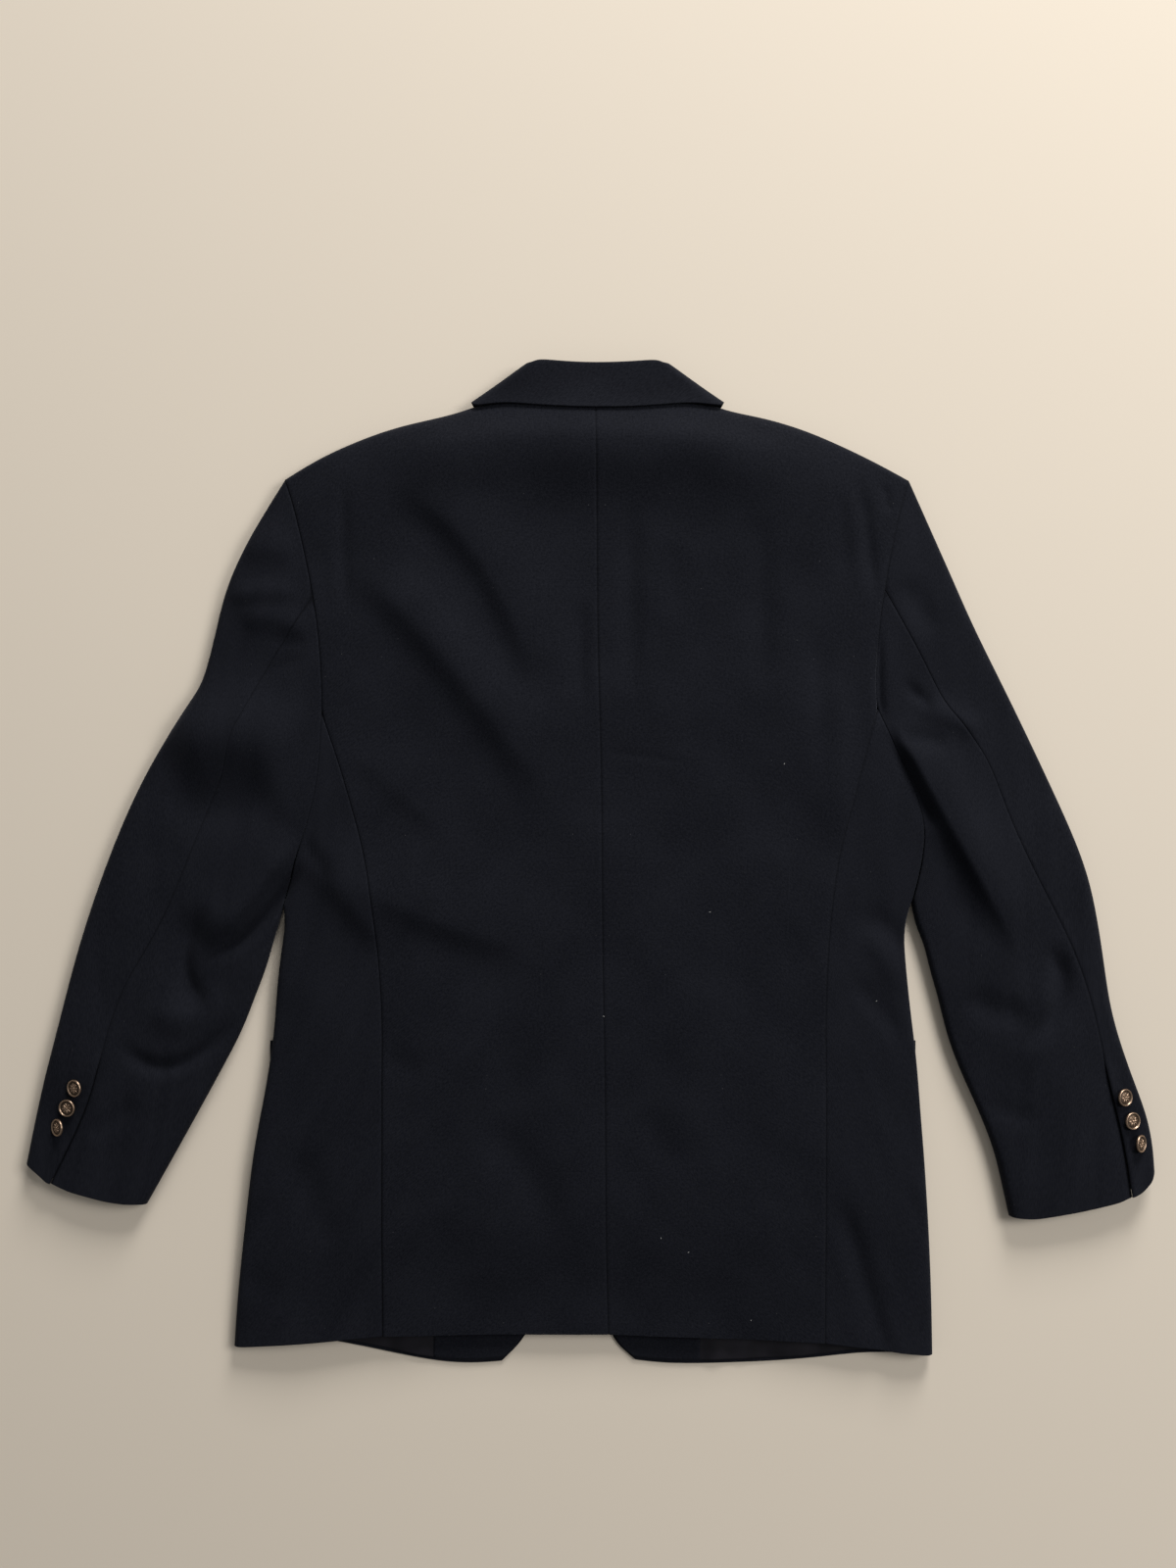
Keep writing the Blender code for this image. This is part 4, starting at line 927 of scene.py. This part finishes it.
class SleeveSection:
    """A sleeve's edges at a place between its table's rows, and its points all round."""

    def __init__(self, name, position):
        dots = spline_dots(SLEEVES[name])
        steps = np.linspace(0.0, len(SLEEVES[name]) - 1.0, len(dots))
        here, before, after = (
            np.array([np.interp(position + reach, steps, column) for column in dots.T])
            for reach in (0.0, -SECTION_REACH, SECTION_REACH)
        )
        ahead = after - before
        self.outer = here[0:2]
        self.across = here[2:4] - here[0:2]
        self.elbow = here[4]
        self.along = square_to(self.across, (0, -1))
        self.ways = {
            "outer": square_to(ahead[0:2], -self.across),
            "inner": square_to(ahead[2:4], self.across),
        }
        self.bases = {
            "outer": here[0:2] - self.ways["outer"] * EDGE,
            "inner": here[2:4] - self.ways["inner"] * EDGE,
        }

    def point(self, part, value):
        if part in self.bases:
            base = self.bases[part]
            return rolled(base, self.ways[part], ROLL, upper_height(base), LOW, value)
        place = mix(self.bases["outer"], self.bases["inner"], value)
        return on_top(place) if part == "upper" else raised(place, LOW, -1.0)

    def share_across(self, point):
        return np.dot(point[0:2] - self.outer, self.across) / np.dot(self.across, self.across)


def sleeve_rings(half, places):
    """Rows of points round a sleeve, from the armhole to the cuff."""
    last_row = len(SLEEVES[half.name]) - 1
    bows = np.array(CUFF_BOWS[half.name])
    first = SleeveSection(half.name, 0.0)
    rows = [[half.armhole_point(*place, "sleeve") for place in places]]
    bulges = [loop - first.point(*place) for loop, place in zip(rows[0], places)]
    for step in range(1, SLEEVE_ROWS + 1):
        position = step * last_row / SLEEVE_ROWS
        section = SleeveSection(half.name, position)
        cuff = smooth_step(position - (last_row - 1))
        row = []
        for bulge, (part, value) in zip(bulges, places):
            share = value
            if part == "upper":
                share = np.interp(value, (0.0, half.elbow_share, 1.0), (0.0, section.elbow, 1.0))
            point = section.point(part, share)
            rate = SLEEVE_FADE_OUTWARD if bulge[0] * half.sign > 0 else SLEEVE_FADE
            point += math.exp(-rate * position) * bulge
            if part in ("upper", "lower"):
                bow = SLEEVE_BOW * math.sin(math.pi * value) * position * math.exp(1.0 - position)
                point[0] += half.sign * bow
            bow = cuff * np.interp(section.share_across(point), bows[:, 0], bows[:, 1])
            point[0:2] += section.along * bow
            if part == "upper":
                point[2] = upper_height(point[0:2])
            row.append(point)
        rows.append(row)
    return rows


def vent_step(height):
    """The heights that lay one edge of the vent over the other, near the cuff."""
    def lift(plan, from_seam, from_foot):
        open_share = 1.0 / (1.0 + np.exp((from_foot - VENT_LENGTH) / VENT_EASE))
        return height * open_share * np.exp(-(from_seam / VENT_REACH) ** 2)
    return lift


for half in halves:
    uppers, lowers = half.upper_shares, half.lower_shares
    for piece, upper_part, roll_part, lower_part, lift in (
        ("topsleeve", uppers[OUTER_STEPS::-1], "outer", lowers[:-1], VENT_STEP + SEAM_DIP),
        ("undersleeve", uppers[OUTER_STEPS:], "inner", lowers[:-3:-1], -VENT_STEP),
    ):
        places = stations("upper", upper_part) + stations(roll_part, ROLL_ANGLES)
        rings = sleeve_rings(half, places + stations("lower", lower_part))
        cloth(f"{piece}_{half.name}", rings, seams="tbe", lift=vent_step(lift))

# Fronts
# Each front lies face down on the floor, from the shoulder to its cutaway hem. It rises a
# little where its lapel or pocket flap lies beneath, and where it laps over the other one.
NECK_ROWS = 3
LAPEL_ROWS = 9


def front_outline(half):
    """The front's inner edge: neck, roll line and front edge, a point for each row."""
    points = half.path("front_neck").along(even(NECK_ROWS)[:-1])
    points += half.path("roll_line").along(np.linspace(0, half.table["lapel_share"], LAPEL_ROWS + 1))
    rest = FRONT_STEPS + BODY_ROWS - NECK_ROWS - LAPEL_ROWS
    return points + half.path("front_edge").along(even(rest - 1))


def front_rows(half):
    """Rows of a front from its shoulder to its hem, columns from the armhole in."""
    bases = half.shoulder_bases()[::-1]
    first = [half.armhole_point("lower", share)[0:2] for share in half.lower_shares[:FRONT_STEPS + 1]]
    first += half.under_seam.along(even(BODY_ROWS)[1:])
    last = front_outline(half)
    hem = Path([first[-1]] + half.table["front_hem"][1:])
    across = even(SHOULDER_COLUMNS)
    top = [first[0]] + [base for base, out in bases[1:-1]] + [last[0]]
    flat = patch(top, hem.along(across), first, last, across, even(FRONT_STEPS + BODY_ROWS))
    rolls = [
        [half.armhole_point("outer", angle)] + [half.rolled(base, out, angle) for base, out in bases[1:]]
        for angle in (90.0, 120.0, 150.0)
    ]
    return rolls + [[half.on_foot(point) for point in row] for row in flat]


for half in halves:
    cloth(f"front_{half.name}", front_rows(half), seams="be", rounding=FLAT_ROUNDING)

# Lapels
# The turned-back tops of the fronts, folded along the roll line and pressed flat between
# the fronts and the floor.
LEAF_FOLD = LEAF_LIFT / 2
LEAF_FOLD_GAP = 0.5
LEAF_FOLD_STEPS = 4
LEAF_COLUMNS = 3


def lapel_rows(half):
    """Rows of a lapel from its gorge down; columns from the front's edge round and out."""
    folds = front_outline(half)[NECK_ROWS:NECK_ROWS + LAPEL_ROWS + 1]
    tips = half.path("lapel_edge").along(even(LAPEL_ROWS))
    out = square_to(half.path("roll_line").direction(0.5), (-half.sign, 0))
    rows = []
    for fold, tip in zip(folds, tips):
        top = half.lower_height(fold)
        clear = fold + out * LEAF_FOLD_GAP
        row = [rolled(clear, out, LEAF_FOLD, top, LOW, 180.0 * turn) for turn in even(LEAF_FOLD_STEPS)]
        rows.append(row + [raised(mix(fold, tip, share), LOW, -1.0) for share in even(LEAF_COLUMNS)[1:]])
    return rows


for half in halves:
    cloth(f"lapel_{half.name}", lapel_rows(half), folded=False, rounding=FLAT_ROUNDING)

# Collar
# Stand and fall in one: it stands up from the neck seam inside, turns over at the top and
# falls over the back. At both shoulders it bends round the neck and on under the fronts.
# Each station of the left half is given by its neck seam, its fold and its free edge.
COLLAR_CENTRE = 6.0
COLLAR_TOP = [
    ((4, 391.5), (4, 418.3), (5, 379.2)),
    ((-18, 391.5), (-18, 419), (-20, 379.9)),
    ((-38, 392), (-34, 420.3), (-48, 381.8)),
    ((-62, 392.5), (-43, 420.6), (-74, 385.2)),
]
COLLAR_SIDE = ((-96, 391), (-54.5, 418.3), (-101, 387.3))
COLLAR_UNDER = [
    ((-81, 374.5), (-49, 402), (-104, 368)),
    ((-73, 365), (-46, 382), (-109, 352)),
    ((-61, 350), (-43, 360), (-111, 336)),
    ((-52, 338.5), (-40, 343), (-107, 322)),
    ((-46, 331), (-38, 326), (-93, 312)),
]
COLLAR_ROLL_AT_ROLL_LINE = 2.5
COLLAR_ROLL_AT_EDGE = 3.0
COLLAR_EDGE_LIFT = 2.8
COLLAR_TURN_POWER = 0.7
STAND_STEPS = 2
FALL_STEPS = 3


def collar_half(sign):
    """Stations of one half of the collar, from the centre to its end under the front."""
    def mirrored(spots):
        spots = np.array(spots, float)
        if sign > 0:
            spots[:, 0] = 2 * COLLAR_CENTRE - spots[:, 0]
        return spots

    def section(neck, fold, edge, out, place):
        """Points of the collar from neck seam over the roll line to the free edge."""
        start = fold - out * (LEAF_FOLD + WALL / 2)
        points = [place(mix(neck, start, share), 0.0) for share in even(STAND_STEPS)[:-1]]
        for turn in math.pi * even(LEAF_FOLD_STEPS):
            points.append(place(start + out * LEAF_FOLD * math.sin(turn), LEAF_FOLD * (1 - math.cos(turn))))
        for share in even(FALL_STEPS)[1:]:
            points.append(place(mix(start, edge, share), mix(LEAF_LIFT, COLLAR_EDGE_LIFT, share)))
        return points

    def top_place(point, lift):
        return raised(point, upper_height(point) + lift)

    def under_place(point, lift):
        return raised(point, LOW + LEAF_LIFT * (1.0 - min(lift / COLLAR_EDGE_LIFT, 1.0)))

    side_neck, side_fold, side_edge = mirrored(COLLAR_SIDE)
    across = unit(side_edge - side_fold)
    slant = square_to(across, (0, 1))
    length = np.linalg.norm(side_edge - side_fold)

    def side_place(angle):
        def place(point, lift):
            share = np.clip(np.dot(point - side_fold, across) / length, 0.0, 1.0)
            out = unit(mix((sign, 0.0), slant, share ** COLLAR_TURN_POWER))
            reach = mix(COLLAR_ROLL_AT_ROLL_LINE, COLLAR_ROLL_AT_EDGE, share)
            base = point - out * (reach + LEAF_LIFT + WALL / 2)
            top = upper_height(base) + lift
            return rolled(base, out, reach + lift, top, LOW + LEAF_LIFT - lift, angle)
        return place

    top = [
        section(neck, fold, edge, unit(fold - neck), top_place)
        for neck, fold, edge in map(mirrored, COLLAR_TOP)
    ]
    side = [
        section(side_neck, side_fold, side_edge, -across, side_place(angle))
        for angle in 180.0 * even(ROLL_STEPS)
    ]
    under = [
        section(neck, fold, edge, unit(fold - edge), under_place)
        for neck, fold, edge in map(mirrored, COLLAR_UNDER)
    ]
    return top + side + under


collar_rows = collar_half(-1.0)[::-1] + collar_half(1.0)[1:]
cloth("collar", collar_rows, rounding=FLAT_ROUNDING)

# Pocket flaps
# One on each front, sewn on along its top, hidden under the blazer but for a corner.
FLAP_COLUMNS = 4
FLAP_SEWN = LOW + LEAF_LIFT - WALL - SEAM_GAP

for half in halves:
    flap_rows = [
        [raised((x, y), height, -1.0) for x in np.linspace(*half.table["flap"], FLAP_COLUMNS + 1)]
        for y, height in ((FLAP_TOP, FLAP_SEWN), ((FLAP_TOP + FLAP_FOOT) / 2, LOW), (FLAP_FOOT, LOW))
    ]
    cloth(f"pocket_flap_{half.name}", flap_rows, folded=False, rounding=FLAT_ROUNDING)

# Facings and lining
# Inside the fronts, and seen only below the back's hem: the wool facing along the front
# edge, and beside it the satin lining, slightly puckered where it is felled to the hem.
STRIP_DEPTH = 66.0
STRIP_ROWS = 8
STRIP_COLUMNS = 7
HEM_TURN_UP = 3.0
FACING_END = 0.995
LINING_WALL = 1.0
SHOWN_LINING_WALL = 0.7
PUCKER_FADE = 30.0
SATIN_DARK = (0.0035, 0.0031, 0.0056, 1.0)
SATIN_LIGHT = (0.0095, 0.0085, 0.0130, 1.0)


def strip_rows(half, start, end, to_edge=False):
    """Rows of a facing's or a lining's end above the front's hem, between two of its shares.

    With to_edge, the last column follows the front's edge.
    """
    edge = half.path("front_edge").dots
    edge = edge[edge[:, 1].argsort()]
    turn_up = np.array([0.0, HEM_TURN_UP])
    columns = even(STRIP_COLUMNS)
    points = [point + turn_up for point in half.path("front_hem").along(mix(start, end, columns))]
    rows = []
    for rise in STRIP_DEPTH * (1 - even(STRIP_ROWS)):
        row = []
        for point, column in zip(points, columns):
            place = point + np.array([0.0, rise])
            if to_edge:
                edge_x = np.interp(place[1], edge[:, 1], edge[:, 0]) + HEM_TURN_UP * half.sign
                place[0] = mix(points[0][0], edge_x, column)
            row.append(raised(place, half.lower_height(place) + WALL / 2 + SEAM_GAP + LINING_WALL / 2))
        rows.append(row)
    return rows


def satin_finish():
    """Lining satin: smooth, with a soft broken sheen along the weft."""
    finish = Finish("satin_lining", Specular_IOR_Level=0.22)
    spot, u, v = finish.cloth_map()
    threads = finish.threads(u * 180.0, v * 1400.0)
    mottle = finish.noise(spot, 45.0)
    finish.feed(
        Base_Color=finish.blend(mottle.between(0.3, 0.7), SATIN_DARK, SATIN_LIGHT),
        Roughness=threads * 0.2 + 0.44,
        Normal=finish.bump(threads, 0.2, 0.0001),
    )
    return finish.material


def puckers(plan, from_first, from_foot):
    """Small uneven puckers of the lining along the hem."""
    x = plan[:, 0]
    ripple = 0.45 * np.sin(x / 5.1 + 1.2 * np.sin(x / 17.0)) + 0.5 * np.sin(x / 13.0)
    return ripple * np.exp(-(from_foot / PUCKER_FADE) ** 2)


finishes["satin_lining"] = satin_finish()
for half in halves:
    hem = half.path("front_hem")
    start, joint = (hem.share_at_x(half.table[side]) for side in ("lining_side", "facing_side"))
    cloth(
        f"lining_{half.name}", strip_rows(half, start, joint), lift=puckers,
        folded=False, slot="satin_lining", wall=SHOWN_LINING_WALL,
    )
    cloth(
        f"facing_{half.name}", strip_rows(half, joint, FACING_END, True),
        folded=False, rounding=FLAT_ROUNDING, wall=SHOWN_LINING_WALL,
    )

# Cuff buttons
# Three on each sleeve, cast in antique brass: a domed face inside a raised rim, with a
# plain eight-leaved rosette, on a shank through the cloth beside the vent. Each is given
# by its place, and by how far it hangs over towards the wearer's right, in degrees.
CUFF_BUTTONS = {
    "left": [(-430, -189, -22), (-437.5, -206, -8), (-444, -222.5, -34)],
    "right": [(446, -197.5, 20), (452.5, -217, 14), (458, -236, 36)],
}
CUFF_BUTTON_RADIUS = 7.4
BUTTON_SEAT_REACH = 8.0
BUTTON_LIFT = 2.0
BUTTON_TURNS = 40
BUTTON_HEIGHT = 1.35
ROSETTE_LEAVES = 8
LEAF_SIZE = (1.75, 0.72, 0.42, 1.0)
LEAF_REACH = 0.36
LEAF_SINK = 0.18
BOSS_SIZE = (1.1, 1.1, 0.55, 1.0)
ROSETTE_BRIGHT = 0.85
BRASS_DARK = (0.045, 0.032, 0.024, 1.0)
BRASS_LIGHT = (0.40, 0.285, 0.205, 1.0)

# Turned section as shares of the radius: radius, height, and how bright the brass is worn
BUTTON_SECTION = [
    (0.0, 0.40, 0.55), (0.25, 0.39, 0.5), (0.55, 0.35, 0.3), (0.72, 0.30, 0.0), (0.77, 0.31, 0.1),
    (0.82, 0.39, 0.9), (0.89, 0.43, 1.0), (0.96, 0.39, 0.9), (1.0, 0.30, 0.5), (0.97, 0.20, 0.1),
    (0.80, 0.12, 0.0), (0.30, 0.10, 0.0), (0.28, 0.0, 0.0), (0.0, 0.0, 0.0),
]


def brass_finish():
    """Antique brass: warm on the worn rims, nearly black in the hollows."""
    finish = Finish("antique_brass", Metallic=1.0)
    place = finish.node("ShaderNodeTexCoord", {}, "Object")
    tarnish = finish.noise(place, 900.0, 3.0)
    share = (finish.attribute("worn") * 0.85 + tarnish * 0.5 - 0.15).between(0.0, 1.0)
    finish.feed(
        Base_Color=finish.blend(share, BRASS_DARK, BRASS_LIGHT),
        Roughness=share * -0.22 + 0.55,
        Normal=finish.bump(tarnish, 0.15, 0.0002),
    )
    return finish.material


def button_piece(name, radius, seat, up):
    """A turned button with its rosette, moved to its seat with its axis along up."""
    shape = bmesh.new()
    worn = shape.verts.layers.float.new("worn")
    dots = []
    for share, height, bright in BUTTON_SECTION:
        dots.append(shape.verts.new((share * radius * MM, 0.0, height * radius * MM * BUTTON_HEIGHT)))
        dots[-1][worn] = bright
    edges = [shape.edges.new(pair) for pair in zip(dots, dots[1:])]
    bmesh.ops.spin(
        shape, geom=dots + edges, cent=(0, 0, 0), axis=(0, 0, 1), angle=math.tau,
        steps=BUTTON_TURNS, use_merge=True,
    )
    bmesh.ops.remove_doubles(shape, verts=shape.verts, dist=0.000001)
    bmesh.ops.recalc_face_normals(shape, faces=shape.faces)
    top = BUTTON_SECTION[0][1] * radius * BUTTON_HEIGHT
    leaf = Matrix.Translation((LEAF_REACH * radius, 0, top - LEAF_SINK)) @ Matrix.Diagonal(LEAF_SIZE)
    boss = Matrix.Translation((0, 0, top)) @ Matrix.Diagonal(BOSS_SIZE)
    for turn, form in enumerate([leaf] * ROSETTE_LEAVES + [boss]):
        verts = bmesh.ops.create_uvsphere(shape, u_segments=10, v_segments=6, radius=1.0)["verts"]
        spun = Matrix.Rotation(math.tau * turn / ROSETTE_LEAVES, 4, "Z") @ form
        bmesh.ops.transform(shape, matrix=Matrix.Scale(MM, 4) @ spun, verts=verts)
        for vertex in verts:
            vertex[worn] = ROSETTE_BRIGHT
    turned = up.to_track_quat("Z", "Y").to_matrix().to_4x4()
    bmesh.ops.transform(shape, matrix=Matrix.Translation(seat * MM) @ turned, verts=shape.verts)
    hand_over(placed(name + "_shown", mesh_of(name, shape)), name, "antique_brass")


def shown_height(x, y):
    """Height of the middle of the upper layer's wall, with its folds."""
    spot = np.array([[x, y]], float)
    return upper_height(spot[0]) + float(fold_heights(FOLDS, spot)[0] + wave_heights(spot)[0])


finishes["antique_brass"] = brass_finish()
for side, places in CUFF_BUTTONS.items():
    for index, (x, y, tilt) in enumerate(places, start=1):
        reach = BUTTON_SEAT_REACH
        rise_x = shown_height(x + reach, y) - shown_height(x - reach, y)
        rise_y = shown_height(x, y + reach) - shown_height(x, y - reach)
        turn = math.radians(tilt)
        up = Matrix.Rotation(turn, 3, "Y") @ Vector((-rise_x, -rise_y, 2 * reach)).normalized()
        seat = Vector((x, y, shown_height(x, y) + SHOWN_WALL / 2)) + up * BUTTON_LIFT * abs(math.sin(turn))
        button_piece(f"cuff_button_{side}_{index}", CUFF_BUTTON_RADIUS, seat, up)

# Front buttons
# Two larger ones of the same brass, sewn to the front edge, so they lie face down.
FRONT_BUTTONS = [(-9, -60), (-9, -151)]
FRONT_BUTTON_RADIUS = 9.8
FRONT_BUTTON_TOP = 5.8

for index, (x, y) in enumerate(FRONT_BUTTONS, start=1):
    seat = Vector((x, y, FRONT_BUTTON_TOP))
    button_piece(f"front_button_{index}", FRONT_BUTTON_RADIUS, seat, Vector((0, 0, -1)))

# Lint
# A few pale fibres that dark wool always picks up, lying on the back: place and direction.
LINT = [
    (240, -117, 40), (59, -315, 110), (82, -327, 15), (135, -386, 80), (11, -129, 150), (162, 82, 60),
    (100, -42, 0),
]
FIBRE_SIZE = (0.75, 0.28, 0.16, 1.0)
FIBRE_GREY = (0.32, 0.32, 0.31, 1.0)

lint_shape = bmesh.new()
for x, y, turn in LINT:
    fibre = bmesh.ops.create_icosphere(lint_shape, subdivisions=2, radius=1.0)["verts"]
    place = Matrix.Translation((x, y, shown_height(x, y) + SHOWN_WALL / 2))
    spun = place @ Matrix.Rotation(math.radians(turn), 4, "Z") @ Matrix.Diagonal(FIBRE_SIZE)
    bmesh.ops.transform(lint_shape, matrix=Matrix.Scale(MM, 4) @ spun, verts=fibre)
lint = placed("lint", mesh_of("lint", lint_shape))
lint.data.shade_smooth()
lint.data.materials.append(Finish("lint_fibre", Roughness=0.9, Base_Color=FIBRE_GREY).material)
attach(lint, "root")

# Close
# The box of what shows is taken beside the solids' box.
boxes = {"cad": cad_box, "visual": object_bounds()}
plain = {key: [[float(value) for value in corner] for corner in box] for key, box in boxes.items()}
